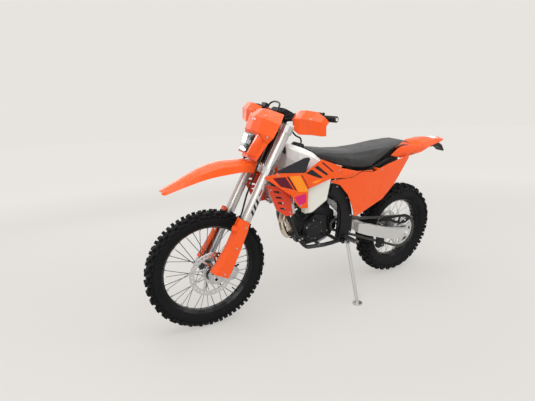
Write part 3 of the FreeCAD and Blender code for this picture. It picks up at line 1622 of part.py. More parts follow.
def make_mask():
    """The headlight mask: a shield of flat facets round the lamp, on struts from the forks."""
    wall = float(size("panel_wall"))
    sections = []
    for s, half, brow, n_mid, n_side in (
        (664, 92, 52, 112, 102), (770, 128, 70, 130, 102), (808, 158, 80, 164, 102), (884, 160, 76, 172, 98),
        (938, 138, 64, 142, 88), (943, 128, 60, 134, 86),
    ):
        skin = [(n_side, -half, s), (n_mid - 6, -brow, s), (n_mid, 0, s), (n_mid - 6, brow, s), (n_side, half, s)]
        lining = [(n - wall * 1.1, y * (1 - wall / half), s) for n, y, s in reversed(skin)]
        sections.append(skin + lining)
    struts = [tube([(59.3, side * 84, 897), (155, side * 84, 897)], 5.5, sides=8) for side in (1, -1)]
    mask = facets(sections).multiFuse(struts).cut(lamp_form(float(size("seat_gap"))))
    keep(computed("headlight_mask", mask), "headlight_mask", world * yoke)


def lamp_form(grow):
    """The headlamp's body and lens, grown all round by a clearance."""
    sections = []
    for n, top, low, top_half, low_half in (
        (100 - grow, 800, 694, 100, 84), (146, 800, 694, 108, 84), (158 + grow, 790, 704, 96, 74),
        (162 + grow, 778, 716, 84, 62),
    ):
        top, low, top_half, low_half = top + grow, low - grow, top_half + grow, low_half + grow
        corner = 16
        sections.append(
            [(n, -top_half, top - corner), (n, -top_half + corner, top), (n, top_half - corner, top),
             (n, top_half, top - corner), (n, low_half, low + corner), (n, low_half - corner, low),
             (n, -low_half + corner, low), (n, -low_half, low + corner)]
        )
    return facets(sections)


def make_headlamp():
    keep(computed("headlamp", lamp_form(0)), "headlamp", world * yoke)


def make_front_fender():
    """The high front fender, a ridge down its middle, bolted by its flange under the lower clamp."""
    wall = float(size("fender_wall"))
    drop_to = float(size("lower_clamp_up")) - float(size("seat_gap"))
    sections = []
    for n, below, drop, half in ((481, 287, 13, 30), (470, 272, 26, 46), (404, 186, 44, 62), (342, 110, 60, 74),
                                 (296, 66, 66, 80), (250, 32, 70, 80), (150, -18, 62, 76), (68, -50, 66, 60)):
        ridge = drop_to - below
        skin = [(n, -half, ridge - drop), (n, -half * 0.86, ridge - drop * 0.35), (n, -half * 0.42, ridge - 5),
                (n, 0, ridge), (n, half * 0.42, ridge - 5), (n, half * 0.86, ridge - drop * 0.35),
                (n, half, ridge - drop)]
        lining = [(n, half - wall, ridge - drop), (n, half * 0.86 - wall, ridge - drop * 0.35 - wall * 0.6),
                  (n, half * 0.42 - wall * 0.3, ridge - 5 - wall), (n, 0, ridge - wall),
                  (n, -half * 0.42 + wall * 0.3, ridge - 5 - wall),
                  (n, -half * 0.86 + wall, ridge - drop * 0.35 - wall * 0.6), (n, -half + wall, ridge - drop)]
        sections.append(skin + lining)
    flange = Part.makeBox(98, 110, wall, Vector(-26, -55, drop_to - wall))
    back = [(68, -56, drop_to - 16), (68, 56, drop_to - 16), (68, 42, drop_to + 44), (68, -42, drop_to + 44)]
    upright = Part.Face(outline(back)).extrude(Vector(wall, 0, 0))
    solid = facets(sections).multiFuse([flange, upright])
    keep(computed("front_fender", solid), "front_fender", world * yoke)


def make_front_caliper():
    """The front caliper behind the left leg, its arm on the leg's lug, slotted for the disc."""
    across = float(size("front_disc_left"))
    slot = float(size("disc_wall")) / 2 + float(size("pad_gap"))
    block = prism([(-88, 12), (-72, 0), (-34, -6), (-18, 8), (-16, 36), (-34, 70), (-46, 78), (-80, 74), (-90, 60)],
                  across - 20, across + 16)
    piston = disc_cover(-58, 34, across + 15, 6, 20, 17, 10)
    arm = prism([(-60, 18), (10, 10), (10, 60), (-50, 66)], across + 6, across + 15.5)
    lead = float(size("axle_lead"))
    gap = rod((lead, across - slot, 0), (lead, across + slot, 0), float(size("front_disc_radius")) + 4)
    keep(computed("front_caliper", block.multiFuse([arm, piston]).cut(gap)), "front_caliper", world * leg)


def make_brake_hose():
    """The front brake's hose, from the master cylinder behind the mask to the caliper."""
    hose = tube(
        [(18, -216.6, 998), (20, -200, 994), (46, -172, 962), (66, -130, 910), (84, -40, 850),
         (90, 40, 780), (86, 84, 700), (82, 96, 600), (76, 97, 480), (62, 102, 390), (58.5, 106, 330),
         (56, 110, 240), (55, 114, 170), (46, 134.5, 125), (16, 135.2, 102), (-20, 134, 98),
         (-48, 114, 104), (-61, 88, 98), (-62, 74, 80)],
        5, 90, 6,
    )
    keep(computed("brake_hose", hose), "brake_hose", world * yoke)


# Side stand


def make_stand():
    """The long stand: a pin eye, a tube and a round foot that lies flat on the floor."""
    axis = stand_axis()
    pin = Vector(
        float(size("stand_pivot_ahead")), float(size("stand_pivot_left")), float(size("stand_pivot_up"))
    )
    foot_wall = float(size("stand_foot_wall"))
    near = pin + Vector(-float(size("stand_foot_back")), float(size("stand_foot_left")), -351)
    on_floor = world.multVec(near)
    on_floor.z = 0.0
    foot = world.inverse().multVec(on_floor)
    floor_up = world.inverse().Rotation.multVec(UP)
    ankle = foot + floor_up * foot_wall
    down = (ankle - pin).normalize()
    eye = rod(tuple(pin - axis * 10), tuple(pin + axis * 10), 17)
    hole = rod(tuple(pin - axis * 30), tuple(pin + axis * 30), float(size("pin_radius")) + float(size("bore_gap")))
    leg_tube = tube([tuple(pin + down * 12), tuple(ankle - floor_up * 3)], size("stand_tube_radius"), sides=10)
    shoe = rod(tuple(foot), tuple(foot + floor_up * foot_wall), size("stand_foot_radius"))
    floor_cut = rod(tuple(foot - floor_up * 60), tuple(foot), 80)
    solid = eye.multiFuse([leg_tube, shoe]).cut(hole).cut(floor_cut)
    keep(computed("side_stand", clean(solid)), "side_stand", world)


wheels()
make_main_frame()
make_airbox()
make_engine()
make_engine_covers()
make_header()
make_silencer()
make_radiators()
make_radiator_guards()
make_tank()
make_tank_cap()
make_shrouds()
make_scoops()
make_seat()
make_side_panels()
make_rear_fender()
make_tail()
make_frame_guards()
make_swingarm()
make_chain()
make_chain_guides()
make_shock()
make_foot_controls()
make_rear_axle()
make_rear_caliper()
make_clamps()
make_forks()
make_fork_guards()
make_front_axle()
make_handlebar()
make_grips()
make_bar_pad()
make_hand_controls()
make_handguards()
make_mask()
make_headlamp()
make_front_fender()
make_front_caliper()
make_brake_hose()
make_stand()

doc.recompute()
for obj in doc.Objects:
    if "Invalid" in obj.State or "Error" in obj.State:
        raise RuntimeError(f"{obj.Name} failed: {obj.State}")
for label, obj in parts.items():
    shape = obj.Shape
    if shape.isNull() or not shape.isValid() or shape.Volume <= 0:
        raise RuntimeError(f"{label} has no valid shape")
    shape.exportStep(f"parts/{label}.step")
print(len(parts), "sub-parts written")
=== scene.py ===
# %% [markdown]
# An enduro motorcycle leaning on its side stand. The frame below brings in the modelled solids, and
# everything after it gives them their looks: light, finishes, and the pieces that only cloth, rubber
# and fine hardware can show. The solids stay where they are, because the moving pieces, the wheels,
# the steering and the stand, turn about axes that were measured on them.

# %% Load the frame
import math

import bpy
from mathutils import Matrix, Vector


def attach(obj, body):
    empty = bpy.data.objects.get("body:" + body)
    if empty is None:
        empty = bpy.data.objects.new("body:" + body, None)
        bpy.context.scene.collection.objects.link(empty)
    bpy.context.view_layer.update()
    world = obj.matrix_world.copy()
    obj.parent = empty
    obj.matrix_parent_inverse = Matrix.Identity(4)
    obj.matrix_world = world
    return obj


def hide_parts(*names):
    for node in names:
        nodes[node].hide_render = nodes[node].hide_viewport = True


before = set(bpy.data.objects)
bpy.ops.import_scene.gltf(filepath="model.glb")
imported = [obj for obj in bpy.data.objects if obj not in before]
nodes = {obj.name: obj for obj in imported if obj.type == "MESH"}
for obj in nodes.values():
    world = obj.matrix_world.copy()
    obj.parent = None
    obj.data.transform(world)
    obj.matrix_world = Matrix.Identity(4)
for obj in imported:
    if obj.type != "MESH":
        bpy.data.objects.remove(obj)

bpy.ops.object.select_all(action="DESELECT")
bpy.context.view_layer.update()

# %% [markdown]
# The photograph was taken from the front left, from about saddle height and a few steps away.
# The camera stands where the picture's own perspective puts it, with the lens that fits it, so a
# piece can be compared with the photograph point by point.

# %% Camera
PHOTO_WIDTH = 535
FOCAL_PIXELS = 391.68


def new_object(name, data):
    """A new object in the scene, at the origin."""
    made = bpy.data.objects.new(name, data)
    bpy.context.scene.collection.objects.link(made)
    return made


camera_data = bpy.data.cameras.new("photo_camera")
camera_data.sensor_width = 36.0
camera_data.lens = FOCAL_PIXELS / PHOTO_WIDTH * camera_data.sensor_width
camera_data.clip_end = 60.0
camera = new_object("photo_camera", camera_data)
yaw, pitch, roll = math.radians(-120.17), math.radians(-11.53), math.radians(2.205)
ahead = Vector((math.cos(yaw) * math.cos(pitch), math.sin(yaw) * math.cos(pitch), math.sin(pitch)))
right = ahead.cross(Vector((0, 0, 1))).normalized()
up = right.cross(ahead)
tilt = Matrix.Rotation(roll, 3, ahead)
right, up = tilt @ right, tilt @ up
camera.matrix_world = Matrix.Translation((1.51948, 1.8772, 1.16104)) @ Matrix(
    (right, up, -ahead)
).transposed().to_4x4()
bpy.context.scene.camera = camera
print("lens", round(camera_data.lens, 2), "mm")

# %% [markdown]
# A bike has three useful directions of its own. The chassis leans on its stand, the fork leans back
# by its rake and is turned a little to the right, and the bar sits on top of the fork. Each of the
# three gets a matrix, so a piece can be modelled upright in millimetres as on a drawing and then
# be set into the leaning bike.

# %% The bike's own directions
CHASSIS = Matrix((
    (0.99999964, -0.00011788, 0.00084087, -0.7174),
    (0.0, 0.99031659, 0.13882742, -0.1606),
    (-0.00084909, -0.13882737, 0.99031623, 0.0053462),
    (0, 0, 0, 1),
))
FORK_TURN = ((0.89749885, 0.0401663, -0.43918389), (0.01660847, 0.99205914, 0.12467085),
             (0.44070396, -0.11918612, 0.88970483))


def fork_frame(place):
    return Matrix.Translation(place) @ Matrix(FORK_TURN).to_4x4()


FORK = fork_frame((0.7196122, -0.115422, 0.3264004))
BAR = fork_frame((0.3067794, 0.0017686, 1.1627229))
FRONT_WHEEL = fork_frame((0.7698722, -0.1144919, 0.3510798))
REAR_WHEEL = Matrix.Translation((-0.7170669, -0.1133922, 0.3420996)) @ CHASSIS.to_3x3().to_4x4()
MM = 0.001


def place(matrix, x, y, z):
    """A point given in millimetres in one of the bike's own directions."""
    return matrix @ Vector((x * MM, y * MM, z * MM))


print("stem", [round(v, 3) for v in place(FORK, 0, 0, 900)])

# %% [markdown]
# Every material is a small tree of nodes. A few helpers keep the trees short. Two make a node and
# link or set its inputs, and the others are the steps that come back most often: arithmetic, moving
# a value into another range, mixing two colours, noise, and one axis of a vector.

# %% Node helpers


def feed(tree, node, **inputs):
    """Links or sets a node's inputs, each by its name or as i and its number."""
    for key, value in inputs.items():
        by_number = key[0] == "i" and key[1:].isdigit()
        socket = node.inputs[int(key[1:]) if by_number else key.replace("_", " ")]
        if isinstance(value, bpy.types.NodeSocket):
            tree.links.new(value, socket)
        else:
            socket.default_value = value
    return node


def wire(tree, kind, settings=None, **inputs):
    """A new shader node with its settings and inputs."""
    node = tree.nodes.new("ShaderNode" + kind)
    for key, value in (settings or {}).items():
        setattr(node, key, value)
    return feed(tree, node, **inputs)


def calc(tree, operation, first, second=0.0, third=0.0):
    """One step of arithmetic on values or sockets."""
    return wire(tree, "Math", {"operation": operation}, i0=first, i1=second, i2=third).outputs[0]


def remap(tree, value, low, high, to_low=0.0, to_high=1.0):
    """The value moved from one range into another, and kept inside it."""
    return wire(tree, "MapRange", i0=value, i1=low, i2=high, i3=to_low, i4=to_high).outputs[0]


def as_colour(tone):
    """For a colour input: a socket as it is, three numbers, or one number for a grey."""
    if isinstance(tone, bpy.types.NodeSocket):
        return tone
    return (*tone, 1) if isinstance(tone, tuple) else (tone, tone, tone, 1)


def blend(tree, share, under, over):
    """Two colours mixed."""
    return wire(tree, "Mix", {"data_type": "RGBA"}, i0=share, i6=as_colour(under),
                i7=as_colour(over)).outputs[2]


def noise(tree, vector, scale, detail, roughness=0.5):
    return wire(tree, "TexNoise", Vector=vector, Scale=scale, Detail=detail,
                Roughness=roughness).outputs["Fac"]


def part(tree, vector, axis):
    return wire(tree, "SeparateXYZ", Vector=vector).outputs[axis]


print("helpers", [f.__name__ for f in (feed, wire, calc, remap, blend, noise, part)])

# %% [markdown]
# A studio is a plain pale floor, a wide soft light overhead and a softer one from each side. What
# the camera sees of the floor glows a little, so it stays evenly pale out to the wall without more
# light on the bike, while the lamps still draw the tyres' shadows on it.

# %% Floor and light
bpy.context.scene.view_settings.view_transform = "Standard"
bpy.ops.mesh.primitive_plane_add(size=60, location=(0, 0, 0))
floor = bpy.context.object
floor.name = "floor"
bpy.ops.object.select_all(action="DESELECT")
PALE = (0.80, 0.775, 0.735)
NEAR, FAR = 0.8, 6.0
GLOW_NEAR, GLOW_FAR = 0.56, 0.86


def seen_by_eye(tree):
    """1 for what the camera sees, straight, in a reflection or through glass."""
    path = wire(tree, "LightPath")
    straight_or_mirrored = calc(tree, "MAXIMUM", path.outputs["Is Camera Ray"], path.outputs["Is Glossy Ray"])
    return calc(tree, "MAXIMUM", straight_or_mirrored, path.outputs["Is Transmission Ray"])


def make_floor_material():
    """A pale matt floor that looks evenly lit to the camera and in reflections."""
    material = bpy.data.materials.new("studio_floor")
    material.use_nodes = True
    tree = material.node_tree
    bounce = feed(tree, tree.nodes["Principled BSDF"], Base_Color=(0.72, 0.72, 0.70, 1), Roughness=0.7)
    seen = wire(tree, "BsdfDiffuse", Color=(*[0.30 * v for v in PALE], 1))
    where = wire(tree, "TexCoord")
    far = wire(tree, "VectorMath", {"operation": "LENGTH"}, i0=where.outputs["Object"])
    strength = remap(tree, far.outputs["Value"], NEAR, FAR, GLOW_NEAR, GLOW_FAR)
    glow = wire(tree, "Emission", Color=(*PALE, 1), Strength=strength)
    both = wire(tree, "AddShader", i0=seen.outputs[0], i1=glow.outputs[0])
    pick = wire(tree, "MixShader", i0=seen_by_eye(tree), i1=bounce.outputs[0], i2=both.outputs[0])
    tree.links.new(pick.outputs[0], tree.nodes["Material Output"].inputs["Surface"])
    return material


floor.data.materials.append(make_floor_material())

world = bpy.data.worlds.new("studio")
bpy.context.scene.world = world
world.use_nodes = True
sky_tree = world.node_tree
sky = feed(sky_tree, sky_tree.nodes["Background"], Color=(0.93, 0.95, 1.0, 1), Strength=0.55)
wall = wire(sky_tree, "Background", Color=(*PALE, 1), Strength=1.0)
pick_sky = wire(sky_tree, "MixShader", i0=seen_by_eye(sky_tree), i1=sky.outputs[0],
                i2=wall.outputs[0])
sky_tree.links.new(pick_sky.outputs[0], sky_tree.nodes["World Output"].inputs["Surface"])


def soft_light(name, place, aim, size, power, color=(1, 1, 1)):
    """A square area lamp that looks at a point."""
    data = bpy.data.lights.new(name, "AREA")
    data.shape = "RECTANGLE"
    data.size, data.size_y = size
    data.energy = power
    data.color = color
    lamp = new_object(name, data)
    lamp.location = place
    lamp.rotation_euler = (Vector(aim) - Vector(place)).to_track_quat("-Z", "Y").to_euler()


soft_light("overhead", (0.3, 0.6, 3.4), (0, 0, 0.5), (4.0, 3.0), 95)
soft_light("front_left", (2.8, 2.6, 2.2), (0, 0, 0.7), (2.0, 2.0), 42)
soft_light("rear_left", (-2.8, 2.2, 2.0), (0, 0, 0.6), (2.0, 2.0), 26)
soft_light("right", (0.2, -3.0, 2.0), (0, 0, 0.7), (3.0, 2.0), 24)

# %% [markdown]
# Nearly every surface of a bike has the same three things over its plain colour: a fine grain from
# the mould or the casting, a roughness that isn't the same everywhere, and edges painted paler,
# partly as rubbed wear and partly as a painted highlight where the light catches them. One shader
# group holds all three, so each finish only gives its own numbers. A second group lays dust on what faces up.

# %% Shared effects
DUST_TONE = (0.42, 0.38, 0.32)


def new_group(name, inputs, outputs):
    """A shader group with sockets from rows of (name, kind, value), and its two end nodes."""
    tree = bpy.data.node_groups.new(name, "ShaderNodeTree")
    for way, rows in (("INPUT", inputs), ("OUTPUT", outputs)):
        for socket_name, kind, *value in rows:
            socket = tree.interface.new_socket(name=socket_name, in_out=way, socket_type="NodeSocket" + kind)
            if value:
                socket.default_value = value[0]
    return tree, tree.nodes.new("NodeGroupInput").outputs, tree.nodes.new("NodeGroupOutput").inputs


def make_surface_group():
    """Grain, uneven roughness and rounded edges for any rigid finish."""
    tree, given, out = new_group(
        "surface_detail",
        (("Vector", "Vector"), ("Grain Scale", "Float", 400.0), ("Grain Depth", "Float", 0.2),
         ("Smooth", "Float", 0.3), ("Rough", "Float", 0.5), ("Edge Radius", "Float", 0.0015)),
        (("Roughness", "Float"), ("Normal", "Vector"), ("Edge", "Float")))
    fine = noise(tree, given["Vector"], given["Grain Scale"], 3.0, 0.6)
    wide = noise(tree, given["Vector"], 9.0, 4.0, 0.6)
    rough = remap(tree, wide, 0.35, 0.7, given["Smooth"], given["Rough"])
    soft = wire(tree, "Bevel", {"samples": 3}, Radius=given["Edge Radius"])
    bump = wire(tree, "Bump", Strength=given["Grain Depth"], Distance=0.0004,
                Height=fine, Normal=soft.outputs[0])
    flat = wire(tree, "NewGeometry")
    # The edge mask: finishes paint their edges paler with it, partly as wear and partly as a painted
    # highlight.
    agree = wire(tree, "VectorMath", {"operation": "DOT_PRODUCT"}, i0=soft.outputs[0],
                 i1=flat.outputs["Normal"])
    edge = remap(tree, agree.outputs["Value"], 0.985, 0.80)
    for name, socket in (("Roughness", rough), ("Normal", bump.outputs[0]), ("Edge", edge)):
        tree.links.new(socket, out[name])
    return tree


def make_dust_group():
    """Dust that settles on what faces up and clings in patches."""
    tree, given, out = new_group(
        "dust", (("Color", "Color", (0.5, 0.5, 0.5, 1)), ("Amount", "Float", 0.1), ("Vector", "Vector")),
        (("Color", "Color"),))
    surface = wire(tree, "NewGeometry")
    above = remap(tree, part(tree, surface.outputs["Normal"], "Z"), -0.2, 1.0, 0.25, 1.0)
    spots = remap(tree, noise(tree, given["Vector"], 30.0, 5.0, 0.7), 0.4, 0.75, 0.1, 1.0)
    share = calc(tree, "MULTIPLY", calc(tree, "MULTIPLY", above, spots), given["Amount"])
    tree.links.new(blend(tree, share, given["Color"], DUST_TONE), out["Color"])
    return tree


surface_group = make_surface_group()
dust_group = make_dust_group()
print("shared effects", [g.name for g in bpy.data.node_groups])

# %% [markdown]
# A finish is a Principled shader with the shared effects in front of it. The colour that comes in
# may be one plain colour or a pattern made earlier in the same tree.

# %% How a finish is made


def start_finish(name, **constants):
    """An empty finish: its tree, its shader with these constants, and its object coordinates."""
    material = bpy.data.materials.new(name)
    material.use_nodes = True
    tree = material.node_tree
    where = wire(tree, "TexCoord").outputs["Object"]
    return material, tree, feed(tree, tree.nodes["Principled BSDF"], **constants), where


def add_detail(tree, shader, where, color, rough, grain, edge, dust):
    """Grain, uneven roughness, paler edges and dust over a colour. An edge is its radius, tone and share; its
    tone is partly rubbed wear and partly a painted highlight.
    """
    detail = wire(tree, "Group", {"node_tree": surface_group}, Vector=where, Grain_Scale=grain[0],
                  Grain_Depth=grain[1], Smooth=rough[0], Rough=rough[1], Edge_Radius=edge[0]).outputs
    # Edges are painted in a paler tone: partly rubbed wear, partly a painted highlight where the light
    # catches them.
    worn = blend(tree, calc(tree, "MULTIPLY", detail["Edge"], edge[2]), color, edge[1])
    dusty = wire(tree, "Group", {"node_tree": dust_group}, Color=worn, Vector=where, Amount=dust)
    feed(tree, shader, Roughness=detail["Roughness"], Normal=detail["Normal"],
         Base_Color=dusty.outputs["Color"])


def finish(name, color, rough, metallic=0.0, grain=(400.0, 0.15), edge=(0.0015, 1, 0.1),
           dust=0.05, coat=0.0, gloss=0.3):
    material, tree, shader, where = start_finish(name, Metallic=metallic, Specular_IOR_Level=gloss,
                                                 Coat_Weight=coat, Coat_Roughness=0.15)
    add_detail(tree, shader, where, color, rough, grain, edge, dust)
    return material


print("finishes are made from", surface_group.name, "and", dust_group.name)

# %% [markdown]
# Printed graphics are flat shapes of colour. Each one is a shape with straight sides, so it can be
# made in the shader: a half plane is 1 on one side of a line and 0 on the other, and a shape is
# where all its half planes agree. The points are the bike's own millimetres, turned from the object's
# coordinates by a Mapping node, so a graphic stays on its panel from every side.

# %% Graphics from half planes
PRINT_EDGE = 0.0003


def make_half_plane_group():
    """1 where the point lies further along a direction than a limit, with a soft edge."""
    tree, given, out = new_group(
        "half_plane", (("Vector", "Vector"), ("Along", "Vector"), ("Limit", "Float", 0.0)),
        (("Mask", "Float"),))
    far = wire(tree, "VectorMath", {"operation": "DOT_PRODUCT"}, i0=given["Vector"],
               i1=given["Along"])
    past = calc(tree, "SUBTRACT", far.outputs["Value"], given["Limit"])
    tree.links.new(remap(tree, past, -PRINT_EDGE, PRINT_EDGE), out["Mask"])
    return tree


half_plane_group = make_half_plane_group()


def own_direction(tree, place_socket, matrix):
    """Object coordinates turned into one of the bike's own directions, in metres."""
    back = matrix.inverted()
    return wire(tree, "Mapping", Vector=place_socket, Location=back.to_translation(),
                Rotation=back.to_euler("XYZ")).outputs[0]


def half_plane(tree, vector, along, limit):
    return wire(tree, "Group", {"node_tree": half_plane_group}, Vector=vector, Along=along,
                Limit=limit).outputs["Mask"]


def shape(tree, vector, corners, across=(0, 2), extra=()):
    """A mask inside straight sides: corners in millimetres on the two axes, and extra half planes."""
    middle = [sum(c[i] for c in corners) / len(corners) for i in (0, 1)]
    masks = []
    for k, (a, b) in enumerate(corners):
        c, d = corners[(k + 1) % len(corners)]
        normal = Vector((b - d, c - a)).normalized()
        if normal.dot(Vector((middle[0] - a, middle[1] - b))) < 0:
            normal = -normal
        along = [0.0, 0.0, 0.0]
        along[across[0]], along[across[1]] = normal
        masks.append(half_plane(tree, vector, along, normal.dot(Vector((a, b))) * MM))
    masks += [half_plane(tree, vector, along, limit * MM) for along, limit in extra]
    last = masks[0]
    for mask in masks[1:]:
        last = calc(tree, "MULTIPLY", last, mask)
    return last


print("graphic group", half_plane_group.name)

# %% [markdown]
# The finishes, from the bright moulded plastics to the cast and ground metals. Each gives its edges
# a paler tone, partly as rubbed wear and partly as a painted highlight. Orange plastic is coloured
# right through, so its edges are only a little paler; painted steel shows grey where it is rubbed.

# %% Plain finishes
ORANGE = (0.86, 0.092, 0.007)
# A darker, redder copy of the orange plastic: painted shade for the radiator guards.
SHADED_ORANGE = (0.68, 0.045, 0.010)
INK = (0.012, 0.011, 0.013)
# The orange's paler edge tone: rubbed wear and a painted highlight.
ORANGE_EDGE = (0.002, (1.0, 0.32, 0.08), 0.35)
orange = finish("orange_plastic", ORANGE, (0.26, 0.36), grain=(900, 0.03), edge=ORANGE_EDGE,
                dust=0.01, coat=0.08, gloss=0.3)
# The orange finish with painted shade in its colour, for the radiator guards.
shaded_orange = finish("red_plastic", SHADED_ORANGE, (0.28, 0.40), grain=(900, 0.03),
             edge=(0.002, (0.9, 0.2, 0.06), 0.3), dust=0.01, coat=0.08, gloss=0.3)
dark = finish("dark_plastic", (0.022, 0.022, 0.027), (0.45, 0.6), grain=(600, 0.25),
              edge=(0.0015, 0.15, 0.3), dust=0.02, gloss=0.2)
black = finish("black_plastic", (0.007, 0.007, 0.008), (0.42, 0.58), grain=(700, 0.3),
               edge=(0.0015, 0.10, 0.35), dust=0.015, gloss=0.18)
frame_paint = finish("frame_paint", (0.007, 0.007, 0.008), (0.28, 0.42), grain=(300, 0.08),
                     edge=(0.0012, 0.25, 0.25), dust=0.015, coat=0.15, gloss=0.25)
bar_paint = finish("bar_paint", (0.02, 0.02, 0.021), (0.3, 0.45), metallic=0.6, grain=(900, 0.1),
                   edge=(0.001, 0.3, 0.3))
engine_metal = finish("engine_metal", (0.018, 0.018, 0.020), (0.45, 0.65), metallic=0.5,
                      grain=(260, 0.6), edge=(0.002, 0.5, 0.45), dust=0.03)
cover_paint = finish("cover_paint", (0.010, 0.010, 0.011), (0.32, 0.48), metallic=0.3,
                     grain=(500, 0.2), edge=(0.0015, 0.3, 0.5), dust=0.02)
silver = finish("silver_metal", (0.56, 0.565, 0.57), (0.26, 0.42), metallic=0.9, grain=(700, 0.15),
                edge=(0.0012, 0.9, 0.4), dust=0.03)
swingarm_metal = finish("swingarm_cast", (0.62, 0.615, 0.60), (0.42, 0.58), metallic=0.75,
                        grain=(900, 0.35), edge=(0.002, (0.9, 0.9, 0.88), 0.4), dust=0.05)
bright_steel = finish("bright_steel", (0.74, 0.74, 0.73), (0.16, 0.3), metallic=1.0,
                      grain=(900, 0.08), edge=(0.0006, 0.95, 0.3), dust=0.0)
dark_steel = finish("dark_steel", (0.16, 0.16, 0.17), (0.3, 0.45), metallic=0.9, grain=(700, 0.2),
                    edge=(0.0008, 0.6, 0.4), dust=0.02)
chain_steel = finish("chain_steel", (0.075, 0.073, 0.07), (0.35, 0.6), metallic=0.9,
                     grain=(300, 0.4), edge=(0.0008, (0.6, 0.58, 0.55), 0.5), dust=0.05)
spring_paint = finish("spring_paint", (0.75, 0.75, 0.74), (0.25, 0.4), grain=(400, 0.1),
                      edge=(0.001, 0.9, 0.2))
rim_paint = finish("rim_paint", (0.012, 0.012, 0.014), (0.22, 0.34), metallic=0.6,
                   grain=(900, 0.05), edge=(0.001, 0.4, 0.3), dust=0.02)
hose_rubber = finish("hose_rubber", (0.007, 0.007, 0.008), (0.4, 0.6), grain=(900, 0.3),
                     edge=(0.001, 0.08, 0.2), dust=0.01, gloss=0.2)
white_plastic = finish("white_plastic", (0.82, 0.82, 0.80), (0.25, 0.4), grain=(800, 0.05),
                       edge=(0.0006, 0.9, 0.2), dust=0.0)
print("plain finishes", len(bpy.data.materials))

# %% [markdown]
# Some metals show how they were made and used. A brake disc is ground in rings, a bare exhaust pipe
# goes straw brown near the engine, and a hub's spokes are of another metal than its barrel. Rings
# come from the distance to the wheel's axle, so they turn with the wheel.

# %% Ground and heated metals


def from_axle(tree, vector):
    """The distance from a wheel's axle, in metres."""
    flat = wire(tree, "VectorMath", {"operation": "MULTIPLY"}, i0=vector, i1=(1.0, 0.0, 1.0))
    return wire(tree, "VectorMath", {"operation": "LENGTH"}, i0=flat.outputs[0]).outputs["Value"]


def rings(tree, distance, spacing):
    """A wave from 0 to 1 in rings that far apart."""
    wave = calc(tree, "SINE", calc(tree, "MULTIPLY", distance, 2 * math.pi / spacing))
    return remap(tree, wave, -1.0, 1.0)


def bump_over(tree, shader, height, strength, distance):
    """One more bump over what the shader's normal already has."""
    linked = shader.inputs["Normal"].links[0].from_socket
    node = wire(tree, "Bump", Strength=strength, Distance=distance, Height=height, Normal=linked)
    tree.links.new(node.outputs[0], shader.inputs["Normal"])


def ground_disc(name, matrix):
    material, tree, shader, where = start_finish(name, Metallic=1.0)
    local = own_direction(tree, where, matrix)
    distance = from_axle(tree, local)
    ground = rings(tree, distance, 0.0011)
    tone = blend(tree, ground, (0.60, 0.60, 0.60), (0.72, 0.72, 0.71))
    add_detail(tree, shader, where, tone, (0.18, 0.3), (900, 0.1), (0.0006, 0.9, 0.3), 0.0)
    bump_over(tree, shader, ground, 0.25, 0.0002)
    return material


def spoked_hub(name, matrix, barrel, spoke_tone):
    """A grey cast hub whose spokes, further out, are another metal."""
    material, tree, shader, where = start_finish(name, Metallic=0.9)
    local = own_direction(tree, where, matrix)
    tone = blend(tree, calc(tree, "GREATER_THAN", from_axle(tree, local), barrel), (0.20, 0.20, 0.205),
                 spoke_tone)
    add_detail(tree, shader, where, tone, (0.22, 0.36), (700, 0.15), (0.001, 0.8, 0.3), 0.02)
    return material


def heated_pipe():
    """Raw stainless pipe, straw brown near the port and paler after its bends."""
    material, tree, shader, where = start_finish("exhaust_steel", Metallic=1.0)
    local = own_direction(tree, where, CHASSIS)
    warm = calc(tree, "MULTIPLY_ADD", noise(tree, where, 14.0, 3.0), 0.25, part(tree, local, "Z"))
    ramp = wire(tree, "ValToRGB", i0=remap(tree, warm, 0.58, 0.80))
    ramp.color_ramp.elements[0].color = (0.66, 0.60, 0.52, 1)
    ramp.color_ramp.elements[1].color = (0.42, 0.30, 0.19, 1)
    middle = ramp.color_ramp.elements.new(0.5)
    middle.color = (0.60, 0.50, 0.38, 1)
    add_detail(tree, shader, where, ramp.outputs[0], (0.2, 0.36), (500, 0.1),
               (0.001, 0.8, 0.2), 0.02)
    return material


front_disc_steel = ground_disc("front_disc_steel", FRONT_WHEEL)
rear_disc_steel = ground_disc("rear_disc_steel", REAR_WHEEL)
front_hub_metal = spoked_hub("front_hub_metal", FRONT_WHEEL, 0.052, (0.13, 0.13, 0.135))
rear_hub_metal = spoked_hub("rear_hub_metal", REAR_WHEEL, 0.066, (0.55, 0.55, 0.55))
exhaust_steel = heated_pipe()
print("metals", front_disc_steel.name, exhaust_steel.name)

# %% [markdown]
# Rubber is never one even black. A knobby tyre has moulded rings on its sidewall and grey scuffs
# on the tops of its lugs, and a grip has rows of small ribs round it. Both come from the distance
# to an axle or along a bar, so the pattern follows the shape.

# %% Rubber


def knobby_rubber(name, matrix, lug_foot):
    material, tree, shader, where = start_finish(name, Specular_IOR_Level=0.14)
    local = own_direction(tree, where, matrix)
    distance = from_axle(tree, local)
    scuffed = noise(tree, where, 45.0, 5.0, 0.7)
    worn = remap(tree, distance, lug_foot, lug_foot + 0.02)
    tone = blend(tree, calc(tree, "MULTIPLY", worn, scuffed), (0.0055, 0.0055, 0.0065),
                 (0.014, 0.014, 0.015))
    add_detail(tree, shader, where, tone, (0.5, 0.72), (420, 0.3), (0.0012, 0.045, 0.4),
               0.012)
    wall = remap(tree, distance, lug_foot - 0.002, lug_foot, 1.0, 0.0)
    bump_over(tree, shader, calc(tree, "MULTIPLY", rings(tree, distance, 0.0075), wall), 0.6, 0.0012)
    return material


